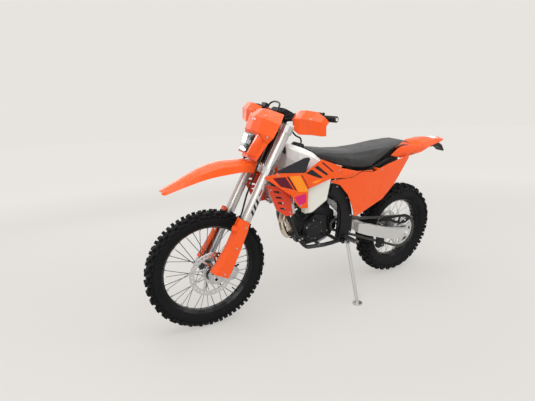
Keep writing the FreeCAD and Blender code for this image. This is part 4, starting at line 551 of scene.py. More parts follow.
def ribbed_grip():
    material, tree, shader, where = start_finish("grip_rubber", Specular_IOR_Level=0.18)
    local = own_direction(tree, where, BAR)
    rib = rings(tree, part(tree, local, "Y"), 0.0045)
    add_detail(tree, shader, where, (0.008, 0.008, 0.009), (0.55, 0.75), (700, 0.4),
               (0.001, 0.08, 0.3), 0.03)
    bump_over(tree, shader, rib, 0.8, 0.0012)
    return material


front_rubber = knobby_rubber("front_tyre_rubber", FRONT_WHEEL, 0.335)
rear_rubber = knobby_rubber("rear_tyre_rubber", REAR_WHEEL, 0.325)
grip_rubber = ribbed_grip()
print("rubber", front_rubber.name, rear_rubber.name, grip_rubber.name)

# %% [markdown]
# The shroud of such a bike carries its largest graphic. This one is a plain design made for this
# bike: slanting bars in maroon, amber and pink with black lines between, and three dark slashes
# towards the seat. The fork tubes have black and red slashes low down, and the rear fender a pale
# plate on top.

# %% Printed plastics
MAROON = (0.105, 0.004, 0.018)
AMBER = (0.93, 0.28, 0.010)
PINK = (0.62, 0.012, 0.135)
SHROUD_BARS = (
    (MAROON, ((1206, 901), (1122, 897), (1060, 818), (1150, 848))),
    (INK, ((1112, 897), (1100, 896), (1034, 806), (1050, 813))),
    (AMBER, ((1092, 896), (1022, 893), (950, 790), (1024, 800))),
    (INK, ((1012, 893), (1004, 892), (944, 806), (952, 808))),
    (PINK, ((1052, 774), (968, 782), (962, 730), (1010, 716))),
    (INK, ((980, 900), (936, 916), (846, 858), (868, 856))),
    (INK, ((918, 924), (896, 934), (806, 872), (818, 866))),
    (INK, ((866, 946), (854, 948), (764, 884), (772, 880))),
    (AMBER, ((934, 838), (905, 846), (846, 848), (900, 832))),
)


def printed_plastic(name, base, matrix, prints, across=(0, 2), extra=(), rough=(0.26, 0.36)):
    """Coloured plastic with a row of printed shapes on it, under one clear film."""
    material, tree, shader, where = start_finish(name, Specular_IOR_Level=0.2, Coat_Weight=0.03,
                                                 Coat_Roughness=0.15)
    local = own_direction(tree, where, matrix)
    tone = base
    for color, corners in prints:
        tone = blend(tree, shape(tree, local, corners, across, extra), tone, color)
    add_detail(tree, shader, where, tone, rough, (900, 0.03), ORANGE_EDGE, 0.01)
    return material


shroud_print = printed_plastic("shroud_print", ORANGE, CHASSIS, SHROUD_BARS)
FENDER_PLATE = (((0.86, 0.86, 0.85), ((-318, 34), (-246, 40), (-232, -40), (-306, -34))),)
fender_print = printed_plastic("rear_fender_print", ORANGE, CHASSIS, FENDER_PLATE, across=(0, 1),
                               extra=(((0, 0, 1), 985),))
FORK_SLASHES = [(INK, ((30, s + 14), (30, s + 30), (0, s + 6), (0, s - 10))) for s in (392, 424, 456)]
FORK_SLASHES += [((0.50, 0.010, 0.018), ((28, 504), (28, 542), (20, 540), (20, 502))),
                 ((0.50, 0.010, 0.018), ((10, 498), (10, 536), (3, 534), (3, 496)))]


def printed_fork():
    """Anodised outer fork tubes with slashes on their outer faces."""
    material, tree, shader, where = start_finish("fork_anodised", Metallic=0.75)
    local = own_direction(tree, where, FORK)
    tone = (0.60, 0.588, 0.57)
    for color, corners in FORK_SLASHES:
        left = shape(tree, local, corners, extra=(((0, 1, 0), 112),))
        right = shape(tree, local, corners, extra=(((0, -1, 0), 112),))
        tone = blend(tree, calc(tree, "MAXIMUM", left, right), tone, color)
    add_detail(tree, shader, where, tone, (0.24, 0.38), (800, 0.12), (0.0012, 0.9, 0.3), 0.02)
    return material


fork_print = printed_fork()
print("printed", shroud_print.name, fender_print.name, fork_print.name)

# %% [markdown]
# A fuel tank is blown from milky plastic that lets light through. The fuel inside shows as a
# yellower, darker lower part. A little light scattering under the surface gives the soft look.

# %% Tank plastic


def milky_tank():
    material, tree, shader, where = start_finish("tank_plastic", Subsurface_Weight=0.25,
                                                 Subsurface_Radius=(0.012, 0.010, 0.008))
    local = own_direction(tree, where, CHASSIS)
    below_fuel = remap(tree, part(tree, local, "Z"), 0.80, 0.83, 1.0, 0.0)
    tone = blend(tree, below_fuel, (0.78, 0.775, 0.73), (0.72, 0.70, 0.62))
    add_detail(tree, shader, where, tone, (0.34, 0.5), (500, 0.12), (0.002, (0.85, 0.85, 0.80), 0.3), 0.03)
    return material


tank_plastic = milky_tank()

DRESSED = (
    (orange, "side_panel_left side_panel_right front_fender headlight_mask handguards fork_guards"),
    (shroud_print, "shroud_left shroud_right"),
    (fender_print, "rear_fender"),
    # The radiator guards get the orange darkened as painted shade.
    (shaded_orange, "radiator_guards"),
    (dark, "air_scoops"),
    (black, "tail_unit airbox frame_guards chain_guides tank_cap bar_pad"),
    (frame_paint, "main_frame"),
    (bar_paint, "handlebar"),
    (engine_metal, "engine"),
    (cover_paint, "engine_covers hand_controls"),
    (exhaust_steel, "header_pipe"),
    (silver, "silencer radiators triple_clamps fork_legs front_caliper rear_caliper side_stand"),
    (swingarm_metal, "swingarm"),
    (fork_print, "fork_tubes"),
    (front_hub_metal, "front_hub"),
    (rear_hub_metal, "rear_hub"),
    (front_disc_steel, "front_disc"),
    (rear_disc_steel, "rear_disc rear_sprocket"),
    (bright_steel, "rear_axle front_axle"),
    (dark_steel, "foot_controls"),
    (chain_steel, "chain"),
    (spring_paint, "shock"),
    (rim_paint, "front_rim rear_rim"),
    (front_rubber, "front_tyre"),
    (rear_rubber, "rear_tyre"),
    (grip_rubber, "grips"),
    (hose_rubber, "brake_hose"),
    (tank_plastic, "fuel_tank"),
)
for material, names in DRESSED:
    for name in names.split():
        if not nodes[name].data.materials:
            nodes[name].data.materials.append(material)
        for slot in nodes[name].material_slots:
            slot.material = material
print("finishes", len(bpy.data.materials))

# %% [markdown]
# Many pieces start the same way, as a cube or a cylinder that is edited, copied and set in place.
# These helpers do that, so each later cell holds only the shape of its own piece. A piece is set in
# by its mesh, and its object stays at the origin, where its joint can carry it.

# %% Modelling helpers
FACES_AXIS = 0.9
MERGE = 0.00005


def select_only(*objects):
    bpy.ops.object.select_all(action="DESELECT")
    for obj in objects:
        obj.select_set(True)
    bpy.context.view_layer.objects.active = objects[0]


def apply_all(piece):
    select_only(piece)
    for modifier in list(piece.modifiers):
        bpy.ops.object.modifier_apply(modifier=modifier.name)


def join(name, pieces):
    select_only(*pieces)
    if len(pieces) > 1:
        bpy.ops.object.join()
    pieces[0].name = name
    return pieces[0]


def cube(middle=(0, 0, 0)):
    """A cube of side 1."""
    bpy.ops.mesh.primitive_cube_add(size=1, location=middle)
    bpy.ops.object.transform_apply()
    return bpy.context.object


def cylinder(vertices, radius, depth, **more):
    bpy.ops.mesh.primitive_cylinder_add(vertices=vertices, radius=radius, depth=depth, **more)
    bpy.ops.object.transform_apply()
    return bpy.context.object


def moved_copy(name, model, matrix):
    """A new object with the model's mesh, moved by a matrix."""
    mesh = model.data.copy()
    mesh.transform(matrix)
    return new_object(name, mesh)


def edit_all():
    bpy.ops.object.mode_set(mode="EDIT")
    bpy.ops.mesh.select_all(action="SELECT")


def leave_edit():
    bpy.ops.object.mode_set(mode="OBJECT")


def normals_out():
    edit_all()
    bpy.ops.mesh.normals_make_consistent(inside=False)
    leave_edit()


def edit_faces(piece, wanted):
    """Into edit mode with only the faces selected that the test accepts."""
    leave_edit()
    for flat in (piece.data.vertices, piece.data.edges):
        flat.foreach_set("select", [False] * len(flat))
    for face in piece.data.polygons:
        face.select = wanted(face)
    bpy.ops.object.mode_set(mode="EDIT")
    bpy.ops.mesh.select_mode(type="FACE")


def facing(axis, sign=1):
    """A test for the faces that look along an axis, 0 to 2 for X to Z."""
    return lambda face: sign * face.normal[axis] > FACES_AXIS


def extrude(*way):
    bpy.ops.mesh.extrude_region_move(TRANSFORM_OT_translate={"value": way})


def pointing(way):
    """The turn that lays +Z along a direction."""
    return way.to_track_quat("Z", "Y").to_matrix().to_4x4()


def set_in(piece, matrix, material, body, smooth=None):
    """Puts a piece that was modelled in one of the bike's directions into the bike, and dresses it."""
    piece.data.transform(matrix @ piece.matrix_basis)
    piece.matrix_basis = Matrix.Identity(4)
    select_only(piece)
    if smooth:
        bpy.ops.object.shade_smooth_by_angle(angle=math.radians(smooth))
    if material:
        piece.data.materials.clear()
        piece.data.materials.append(material)
    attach(piece, body)
    return piece


print("helpers ready, faces count as facing an axis above", FACES_AXIS)

# %% [markdown]
# The seat is foam under a stretched, grippy cover. The foam pushes out against the cover, so the
# sides are crowned and the edges are soft. Here a copy of the solid is remeshed evenly, blown up a
# little as cloth with pressure inside, and held to a few millimetres of travel, so it stays in the
# space between the tank and the panels.

# %% Seat foam and cover
SEAT_VOXEL = 0.006
SEAT_TRAVEL = 0.005
SEAT_PRESSURE = 4.0
SEAT_FRAMES = 20


def grippy_vinyl():
    material, tree, shader, where = start_finish("seat_vinyl")
    local = own_direction(tree, where, CHASSIS)
    surface = wire(tree, "NewGeometry")
    top = remap(tree, part(tree, surface.outputs["Normal"], "Z"), 0.45, 0.75)
    tone = blend(tree, top, (0.013, 0.013, 0.014), (0.042, 0.042, 0.045))
    add_detail(tree, shader, where, tone, (0.42, 0.58), (1400, 0.35), (0.002, 0.1, 0.2), 0.04)
    grain = wire(tree, "TexVoronoi", Vector=local, Scale=520.0)
    bump_over(tree, shader, grain.outputs["Distance"], 0.35, 0.0006)
    return material


def inflate(piece, travel):
    """Blow the mesh up as cloth, but move no point further than the travel."""
    before = [v.co.copy() for v in piece.data.vertices]
    cloth = piece.modifiers.new("cover", "CLOTH")
    cloth.settings.use_pressure = True
    cloth.settings.uniform_pressure_force = SEAT_PRESSURE
    cloth.settings.effector_weights.gravity = 0.0
    scene = bpy.context.scene
    for step in range(1, SEAT_FRAMES + 1):
        scene.frame_set(step)
    apply_all(piece)
    scene.frame_set(1)
    for vertex, start in zip(piece.data.vertices, before):
        move = vertex.co - start
        if move.length > travel:
            vertex.co = start + move * (travel / move.length)


seat = new_object("seat_cushion", nodes["seat"].data.copy())
select_only(seat)
edit_all()
bpy.ops.mesh.remove_doubles(threshold=2 * MERGE)
leave_edit()
remesh = seat.modifiers.new("even", "REMESH")
remesh.mode = "VOXEL"
remesh.voxel_size = SEAT_VOXEL
slimmer = seat.modifiers.new("slimmer", "DISPLACE")
slimmer.strength = -SEAT_TRAVEL
slimmer.mid_level = 0.0
apply_all(seat)
smooth = seat.modifiers.new("soft_edges", "SMOOTH")
smooth.factor = 0.5
smooth.iterations = 4
apply_all(seat)
inflate(seat, SEAT_TRAVEL)
subdivide = seat.modifiers.new("fine", "SUBSURF")
subdivide.levels = subdivide.render_levels = 1
apply_all(seat)
bpy.ops.object.shade_smooth()
seat.data.materials.clear()
seat.data.materials.append(grippy_vinyl())
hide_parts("seat")
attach(seat, "frame")
print("seat faces", len(seat.data.polygons))

# %% [markdown]
# Where two pieces of the cover meet, a sewn seam runs along each side of the seat. It is a thin
# raised cord that lies on the foam, so its points are found by looking straight down on the seat.

# %% Tubes along a line


def tube_piece(name, points, radius, material, body, resolution=6, sides=3):
    """A round tube along a smooth curve through world points, as a mesh."""
    curve = bpy.data.curves.new(name, "CURVE")
    curve.dimensions = "3D"
    curve.resolution_u = resolution
    curve.bevel_depth = radius
    curve.bevel_resolution = sides
    curve.use_fill_caps = True
    line = curve.splines.new("NURBS")
    line.points.add(len(points) - 1)
    for point, where in zip(line.points, points):
        point.co = (*where, 1)
    line.order_u = 3
    line.use_endpoint_u = True
    drawn = new_object(name, curve)
    select_only(drawn)
    bpy.ops.object.convert(target="MESH")
    piece = bpy.context.object
    bpy.ops.object.shade_smooth()
    piece.data.materials.append(material)
    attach(piece, body)
    return piece


ABOVE_SEAT = 1100
SEAT_STATIONS = ((16, 56), (110, 78), (260, 99), (420, 102), (560, 99), (700, 88), (800, 72), (850, 58))
seam_thread = finish("seam_thread", (0.03, 0.03, 0.032), (0.5, 0.7), grain=(2500, 0.6),
                     edge=(0.0004, 0.1, 0.3), dust=0.02)
downward = CHASSIS.to_3x3() @ Vector((0, 0, -1))
seams = []
for side in (1, -1):
    line = []
    for x, half in SEAT_STATIONS:
        hit, where, _, _ = seat.ray_cast(place(CHASSIS, x, side * half, ABOVE_SEAT), downward)
        if hit:
            line.append(where)
    seams.append(tube_piece("seat_seam", line, 0.0013, seam_thread, "frame"))
seat_seams = join("seat_seams", seams)
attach(seat_seams, "frame")
print("seam points", len(line))

# %% [markdown]
# A headlamp is a clear lens in front of a bright bowl. The solid lamp is replaced by an orange
# surround that carries the mask's lines forward, with a bowl pressed into its front, two lamp units
# in the bowl, and a thin lens over it. The surround starts as a cube at the lamp's size, its front
# is inset and pushed in, and the faces of that hollow get the bowl's bright metal.

# %% Headlamp


def lamp_block(name, back, front, low, high, half_low, half_high, front_low, front_high):
    """A cube shaped to the lamp's outline, wider at the top and drawn in at the front, in millimetres."""
    piece = cube()
    piece.name = name
    for vertex in piece.data.vertices:
        x, y, z = vertex.co
        if x > 0:
            half = front_high if z > 0 else front_low
        else:
            half = half_high if z > 0 else half_low
        vertex.co = (
            (front if x > 0 else back) * MM, (half if y > 0 else -half) * MM, (high if z > 0 else low) * MM
        )
    return piece


lamp_bowl_metal = finish("lamp_bowl", (0.80, 0.82, 0.84), (0.06, 0.12), metallic=1.0, grain=(90, 0.5),
                         edge=(0.002, 1, 0.2), dust=0.0)
lamp_surround = lamp_block("lamp_surround", 101, 154, 680, 798, 80, 100, 54, 78)
lamp_surround.data.materials.append(orange)
lamp_surround.data.materials.append(lamp_bowl_metal)
edit_faces(lamp_surround, facing(0))
bpy.ops.mesh.inset(thickness=0.007)
bpy.ops.mesh.inset(thickness=0.002)
extrude(-0.022, 0, 0)
bpy.ops.transform.resize(value=(1, 0.80, 0.80), center_override=(0.132, 0, 0.739))
bpy.ops.mesh.select_all(action="SELECT")
bpy.ops.mesh.bevel(offset=0.003, segments=2)
leave_edit()
BOWL_LOW, BOWL_HIGH = (0.11, -0.068, 0.687), (0.1525, 0.068, 0.792)
SIDE_FRONT, SIDEWAYS = 0.151, 0.3
for face in lamp_surround.data.polygons:
    inside = all(low < c < high for low, c, high in zip(BOWL_LOW, face.center, BOWL_HIGH))
    looks_out = abs(face.normal.y) > SIDEWAYS and face.normal.y * face.center.y > 0
    face.material_index = int(inside and not (looks_out and face.center.x < SIDE_FRONT))
set_in(lamp_surround, FORK, None, "steering", smooth=40)

lamp_dark = finish("lamp_unit_dark", (0.02, 0.02, 0.024), (0.12, 0.2), metallic=0.4, grain=(400, 0.1),
                   edge=(0.0008, 0.5, 0.4), dust=0.0, coat=0.4)
units = []
for y, s in ((0, 768), (-8, 722)):
    unit = cylinder(24, 0.013, 0.018, rotation=(0, math.pi / 2, 0), location=(0.138, y * MM, s * MM))
    edit_faces(unit, facing(0))
    bpy.ops.mesh.inset(thickness=0.003)
    extrude(-0.007, 0, 0)
    bpy.ops.mesh.inset(thickness=0.005)
    extrude(0.004, 0, 0)
    leave_edit()
    units.append(set_in(unit, FORK, lamp_dark, "steering", smooth=35))
lamp_units = join("lamp_units", units)


def clear_lens():
    material, tree, shader, where = start_finish("lamp_lens", Transmission_Weight=1.0, IOR=1.3,
                                                 Roughness=0.03, Base_Color=(0.97, 0.98, 1.0, 1))
    bump = wire(tree, "Bump", Strength=0.15, Distance=0.0006, Height=noise(tree, where, 30.0, 1.0))
    feed(tree, shader, Normal=bump.outputs[0])
    return material


lens = lamp_block("lamp_lens", 152, 158, 685, 793, 49, 71, 45, 66)
edit_all()
bpy.ops.mesh.bevel(offset=0.0018, segments=3)
leave_edit()
set_in(lens, FORK, clear_lens(), "steering", smooth=40)
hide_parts("headlamp")
print("lamp", [len(o.data.polygons) for o in (lamp_surround, lamp_units, lens)])

# %% [markdown]
# A knobby tyre is a round carcass with rubber blocks on it. The carcass is one half of its section
# drawn as a line of points, closed, and spun round the axle. One block is a cube with its top drawn
# in and its edges bevelled, and its copies stand in rows: pairs in the middle, blocks between them
# half a row on, and large and small ones on the shoulders, each leaning out with the carcass.

# %% Knobby tyres


def carcass(name, half_section):
    """A closed tube spun from half a section, points (y, r) in millimetres from the bead to the crown."""
    bpy.ops.mesh.primitive_circle_add(vertices=2 * len(half_section) - 1, radius=1)
    piece = bpy.context.object
    piece.name = name
    ring = [(y, r) for y, r in half_section] + [(-y, r) for y, r in reversed(half_section[:-1])]
    for vertex, (y, r) in zip(piece.data.vertices, ring):
        vertex.co = (r * MM, y * MM, 0)
    edit_all()
    bpy.ops.mesh.spin(steps=96, angle=2 * math.pi, center=(0, 0, 0), axis=(0, 1, 0))
    bpy.ops.mesh.select_all(action="SELECT")
    bpy.ops.mesh.remove_doubles(threshold=MERGE)
    bpy.ops.mesh.normals_make_consistent(inside=False)
    leave_edit()
    bpy.ops.object.shade_smooth()
    return piece


def model_block(long, wide, high):
    """A rubber block with its foot at 0, narrower at the top, in millimetres."""
    piece = cube((0, 0, 0.5))
    piece.data.transform(Matrix.Diagonal((long * MM, wide * MM, high * MM, 1)))
    edit_faces(piece, facing(2))
    bpy.ops.transform.resize(value=(0.86, 0.86, 1))
    bpy.ops.mesh.bevel(offset=0.0008, segments=1)
    leave_edit()
    return piece


def knobby_tyre(name, matrix, body, half_section, rows, blocks, rubber):
    """blocks are (half a row on or not, y, r of its foot, lean in degrees, long, wide, high)."""
    parts = [carcass(name, half_section)]
    for late, y, r, lean, long, wide, high in blocks:
        model = model_block(long, wide, high)
        for side in ((1, -1) if y else (1,)):
            for k in range(rows):
                angle = 2 * math.pi * (k + 0.5 * late) / rows
                foot = Matrix.Rotation(angle, 4, "Y") @ Matrix.Translation((0, side * y * MM, r * MM))
                leant = Matrix.Rotation(math.radians(-side * lean), 4, "X")
                parts.append(moved_copy(name, model, foot @ leant))
        bpy.data.objects.remove(model)
    return set_in(join(name, parts), matrix, rubber, body)


front_knobby = knobby_tyre(
    "front_knobby_tyre", FRONT_WHEEL, "front_wheel",
    ((22, 262), (27, 268), (32, 277), (38, 290), (40.5, 304), (38.5, 317), (32, 328), (20, 335.5),
     (8, 338), (0, 338)),
    34,
    ((0, 10, 334, 2, 20, 15, 18), (1, 25, 330, 20, 20, 14, 17), (0, 34.5, 323, 46, 25, 12, 14),
     (1, 37, 320, 56, 19, 10, 11.5)),
    front_rubber)
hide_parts("front_tyre")
rear_knobby = knobby_tyre(
    "rear_knobby_tyre", REAR_WHEEL, "rear_wheel",
    ((30, 224), (37, 232), (45, 244), (54, 260), (58.5, 277), (57.5, 294), (50, 308), (36, 318),
     (18, 323), (0, 324)),
    30,
    ((0, 14, 321, 3, 23, 21, 20), (1, 0, 321, 0, 22, 20, 20.5), (1, 34, 315, 20, 23, 18, 19),
     (0, 52, 300, 50, 27, 15, 17), (1, 54.5, 297, 60, 21, 12, 14)),
    rear_rubber)
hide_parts("rear_tyre")
print("tyre faces", len(front_knobby.data.polygons), len(rear_knobby.data.polygons))

# %% [markdown]
# The front brake disc has a wavy edge, a drilled ring and thin arms to the hub. One sector of the
# ring is drawn round one hole: the hole's eight edges are extruded out to the sector's border. Its
# copies close into a ring, which gets its thickness from a Solidify modifier.

# %% Front brake disc
DISC_ACROSS = 66
DISC_SECTORS = 30
DISC_ARMS = 9
DISC_THICKNESS = 0.0034


def disc_sector(outer, inner, dip, hole, width):
    """A flat piece of the ring with a round hole, in the plane of the wheel."""
    bpy.ops.mesh.primitive_circle_add(vertices=8, radius=1, fill_type="NOTHING")
    piece = bpy.context.object
    middle = 0.5 * (outer + inner)
    half = math.radians(width / 2)

    def at(r, angle):
        return Vector((r * math.cos(angle), 0, r * math.sin(angle))) * MM

    border = [at(middle, half), at(outer - dip, half), at(outer, 0), at(outer - dip, -half),
              at(middle, -half), at(inner + dip, -half), at(inner, 0), at(inner + dip, half)]
    centre = at(middle, 0)
    for vertex, edge_point in zip(piece.data.vertices, border):
        vertex.co = centre + (edge_point - centre).normalized() * hole * MM
    edit_all()
    bpy.ops.mesh.extrude_edges_move()
    leave_edit()
    for vertex, edge_point in zip(piece.data.vertices[8:], border):
        vertex.co = edge_point
    return piece


def turned_copies(piece, count, matrix=Matrix.Identity(4)):
    """Copies round the axle, each with its own mesh."""
    turns = [Matrix.Rotation(2 * math.pi * k / count, 4, "Y") for k in range(count)]
    copies = [moved_copy(piece.name, piece, turn @ matrix) for turn in turns]
    bpy.data.objects.remove(piece)
    return copies


def thicken(piece, thickness):
    select_only(piece)
    edit_all()
    bpy.ops.mesh.remove_doubles(threshold=MERGE)
    bpy.ops.mesh.normals_make_consistent(inside=False)
    leave_edit()
    wall = piece.modifiers.new("wall", "SOLIDIFY")
    wall.thickness = thickness
    wall.offset = 0
    bpy.ops.object.modifier_apply(modifier="wall")
    normals_out()
    return piece


rim_sectors = turned_copies(disc_sector(130, 99, 2.2, 5.2, 360 / DISC_SECTORS), DISC_SECTORS)
ring = thicken(join("disc_ring", rim_sectors), DISC_THICKNESS)
hub_sectors = turned_copies(disc_sector(54, 36, 1.0, 3.2, 30), 12)
hub_ring = thicken(join("disc_hub_ring", hub_sectors), DISC_THICKNESS)
arm = cube()
arm.name = "disc_arm"
arm.data.transform(Matrix.Diagonal((0.056, DISC_THICKNESS, 0.010, 1)))
arm_set = Matrix.Translation((0.076, 0, 0)) @ Matrix.Rotation(math.radians(28), 4, "Y")
arm_copies = turned_copies(arm, DISC_ARMS, arm_set)
front_brake_disc = join("front_brake_disc", [ring, hub_ring] + arm_copies)
set_in(front_brake_disc, FRONT_WHEEL @ Matrix.Translation((0, DISC_ACROSS * MM, 0)), front_disc_steel,
       "front_wheel", smooth=30)
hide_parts("front_disc")
print("disc faces", len(front_brake_disc.data.polygons))

# %% [markdown]
# Small hardware tells how large a machine is. One flanged hexagon bolt is modelled, a washer under a
# six-sided head whose top is inset and dished, and it is copied to every place where a fastener is.
# A ray from outside finds the surface that a copy sits on, and its row names the body that carries
# it.

# %% One bolt and its copies


def model_bolt():
    """A flanged hexagon head of radius 1, its foot at 0 and its head along +Z."""
    washer = cylinder(18, 1.35, 0.3, location=(0, 0, 0.15))
    head = cylinder(6, 1.0, 0.8, location=(0, 0, 0.6))
    edit_faces(head, facing(2))
    bpy.ops.mesh.inset(thickness=0.12)
    bpy.ops.transform.translate(value=(0, 0, 0.08))
    bpy.ops.mesh.inset(thickness=0.3)
    extrude(0, 0, -0.3)
    leave_edit()
    return join("bolt_model", [head, washer])


BOLT_SINK = 0.3
DISC_FACE = 67.6
bolt = model_bolt()
bolts = {}


def set_bolt(body, where, out, radius):
    """A copy of the bolt with its foot at a world point and its head pointing out."""
    set_at = Matrix.Translation(where) @ pointing(out) @ Matrix.Scale(radius * MM, 4)
    bolts.setdefault(body, []).append(moved_copy(body + "_bolts", bolt, set_at))


def bolt_on(node, body, matrix, point, toward, radius):
    """A bolt where a ray from the point towards the node meets it."""
    way = (matrix.to_3x3() @ Vector(toward)).normalized()
    hit, where, normal, _ = nodes[node].ray_cast(place(matrix, *point), way)
    if not hit:
        print("no surface for a bolt on", node, point)
        return
    out = normal if normal.dot(way) < 0 else -normal
    set_bolt(body, where - out * BOLT_SINK * MM, out, radius)


def bolts_across(node, points, radius, body="frame", matrix=CHASSIS, start=320, sides=(1, -1)):
    """The same bolt at each (x, z) on the sides named, its ray starting out there and running inwards."""
    for x, z in points:
        for side in sides:
            bolt_on(node, body, matrix, (x, side * start, z), (0, -side, 0), radius)


def circle(x, z, radius, count, first=0):
    """Points evenly round a circle, the first at that many degrees."""
    turns = [math.radians(360 / count * k + first) for k in range(count)]
    return [(x + radius * math.cos(a), z + radius * math.sin(a)) for a in turns]


LEFT_ONLY, RIGHT_ONLY = (1,), (-1,)
for name, sides in (("left", LEFT_ONLY), ("right", RIGHT_ONLY)):
    bolts_across("shroud_" + name, ((1172, 912), (1002, 716), (716, 884)), 4.5, sides=sides)
bolts_across("side_panel_left", ((540, 584), (350, 850)), 4.5, sides=LEFT_ONLY)
bolts_across("side_panel_right", ((540, 584),), 4.5, sides=RIGHT_ONLY)
bolts_across("radiator_guards", ((1052, 672), (1186, 822)), 3.5)
bolts_across("frame_guards", ((556, 566), (552, 450), (604, 690), (690, 772)), 4.0)
bolts_across("main_frame", ((902, 455), (932, 458)), 5.5)
bolts_across("main_frame", ((580, 395),), 7.0, sides=LEFT_ONLY)
left_cover = circle(820, 505, 61, 6, 20) + [(690, 462), (690, 546), (632, 546)]
bolts_across("engine_covers", left_cover, 3.5, start=200, sides=LEFT_ONLY)
bolts_across("engine_covers", circle(720, 500, 56, 8, 10), 3.5, start=200, sides=RIGHT_ONLY)
bolts_across("engine_covers", circle(842, 470, 23, 4), 3.0, start=200, sides=RIGHT_ONLY)
engine_points = ((655, 425), (700, 404), (770, 402), (860, 412), (888, 470), (790, 640), (860, 640),
                 (800, 700), (872, 700), (800, 748), (872, 748))
bolts_across("engine", engine_points, 4.0, start=120)
bolts_across("chain_guides", ((194, 330), (252, 350), (200, 276)), 3.5, start=200, sides=LEFT_ONLY)
bolts_across("silencer", ((60, 845), (60, 905), (30, 875)), 3.0, sides=RIGHT_ONLY)
disc_outward = FRONT_WHEEL.to_3x3() @ Vector((0, 1, 0))
for x, z in circle(0, 0, 45, 6, 15):
    set_bolt("front_wheel", place(FRONT_WHEEL, x, DISC_FACE, z), disc_outward, 4.0)
for node, reach, radius, sides in (("rear_sprocket", 52, 4.5, LEFT_ONLY), ("rear_disc", 46, 4.0, RIGHT_ONLY)):
    bolts_across(node, circle(0, 0, reach, 6, 15), radius, "rear_wheel", REAR_WHEEL, 200, sides)
bolts_across("triple_clamps", ((62, 640), (62, 886)), 3.8, "steering", FORK, 150)
bolts_across("fork_guards", ((24, 40), (24, 196), (24, 320)), 3.8, "steering", FORK, 260)
bolts_across("front_caliper", ((-78, 66), (-78, 14)), 4.5, "steering", FORK, 200, LEFT_ONLY)
for side in (1, -1):
    bolt_on("front_fender", "steering", FORK, (140, side * 40, 900), (0, 0, -1), 4.0)
    for y in (262, 372):
        bolt_on("handguards", "steering", BAR, (200, side * y, 4), (-1, 0, 0), 4.0)
    for y, s in ((128, 800), (84, 897)):
        bolt_on("headlight_mask", "steering", FORK, (300, side * y, s), (-1, 0, 0), 4.5)

bolt_steel = finish("bolt_steel", (0.50, 0.50, 0.51), (0.22, 0.36), metallic=1.0, grain=(900, 0.1),
                    edge=(0.0004, 0.85, 0.3), dust=0.0)
for body, copies in bolts.items():
    set_in(join(body + "_bolts", copies), Matrix.Identity(4), bolt_steel, body, smooth=30)
bpy.data.objects.remove(bolt)
print("bolts", {body: len(copies) for body, copies in bolts.items()})

# %% [markdown]
# The top of the mask has two small pale studs. A bolt's own head would be too technical there, so
# each stud is a short disc whose rim is rounded by a bevel.

# %% Mask studs
studs = []
for side in (1, -1):
    _, where, normal, _ = nodes["headlight_mask"].ray_cast(
        place(FORK, 320, side * 12, 868), (FORK.to_3x3() @ Vector((-1, 0, 0))).normalized()
    )
    stud = cylinder(20, 0.0055, 0.003)
    edit_faces(stud, facing(2))
    bpy.ops.mesh.bevel(offset=0.001, segments=2)
    leave_edit()
    studs.append(set_in(stud, Matrix.Translation(where) @ pointing(normal), white_plastic, "steering",
                        smooth=35))
mask_studs = join("mask_studs", studs)
print("studs", len(mask_studs.data.polygons))

# %% [markdown]
# Each spoke is threaded into a nipple that sits in the rim, and a valve stands between two of
# them. One nipple is a short eight-sided cylinder whose end is inset and drawn out as a thinner
# neck, and 36 copies stand round each rim, alternately leaning to the left and the right.

# %% Spoke nipples and valves
SPOKES = 36
SPOKE_LEAN = 9
WHEELS = (("front", FRONT_WHEEL, 252), ("rear", REAR_WHEEL, 213))


def model_nipple():
    piece = cylinder(8, 0.0034, 0.014)
    edit_faces(piece, facing(2, -1))
    bpy.ops.mesh.inset(thickness=0.0008)
    extrude(0, 0, -0.003)
    leave_edit()
    return piece


def nipples(wheel, matrix, rim_inner):
    """Nipples just inside the rim, pointing at the axle, in the wheel's own directions."""
    model = model_nipple()
    name = wheel + "_spoke_nipples"
    copies = []
    for k in range(SPOKES):
        angle = 2 * math.pi * (k + 0.5) / SPOKES
        lean = Matrix.Rotation(math.radians(SPOKE_LEAN if k % 2 else -SPOKE_LEAN), 4, "X")
        stand = Matrix.Rotation(math.pi / 2 - angle, 4, "Y")
        inside_rim = Matrix.Translation((0, 0, (rim_inner - 5) * MM))
        copies.append(moved_copy(name, model, matrix @ stand @ inside_rim @ lean))
    bpy.data.objects.remove(model)
    return set_in(join(name, copies), Matrix.Identity(4), bright_steel, wheel + "_wheel", smooth=30)


def valve(wheel, matrix, rim_inner):
    """A valve stem with its cap, a cylinder stepped in by one inset, drawn out, and widened for the cap."""
    piece = cylinder(12, 0.004, 0.012)
    edit_faces(piece, facing(2, -1))
    bpy.ops.mesh.inset(thickness=0.0012)
    extrude(0, 0, -0.016)
    extrude(0, 0, -0.001)
    bpy.ops.transform.resize(value=(1.3, 1.3, 1))
    extrude(0, 0, -0.010)
    leave_edit()
    piece.name = wheel + "_valve"
    turn = Matrix.Rotation(math.pi / 2 - math.radians(200), 4, "Y")
    return set_in(piece, matrix @ turn @ Matrix.Translation((0, 0, (rim_inner - 4) * MM)),
                  black, wheel + "_wheel", smooth=35)


for made in ([nipples(*row) for row in WHEELS], [valve(*row) for row in WHEELS]):
    print([(piece.name, len(piece.data.polygons)) for piece in made])

# %% [markdown]
# Hoses join what moves little: coolant from the cylinder head to the left radiator, the tank's vent
# from its cap to the steering stem, the short throttle body behind the cylinder, and the brake and
# clutch lines from the bar. Each is a tube along a smooth curve near a few points, with its two
# ends inside what it joins, so none hangs free.

# %% Hoses
HOSE_STEPS = 8


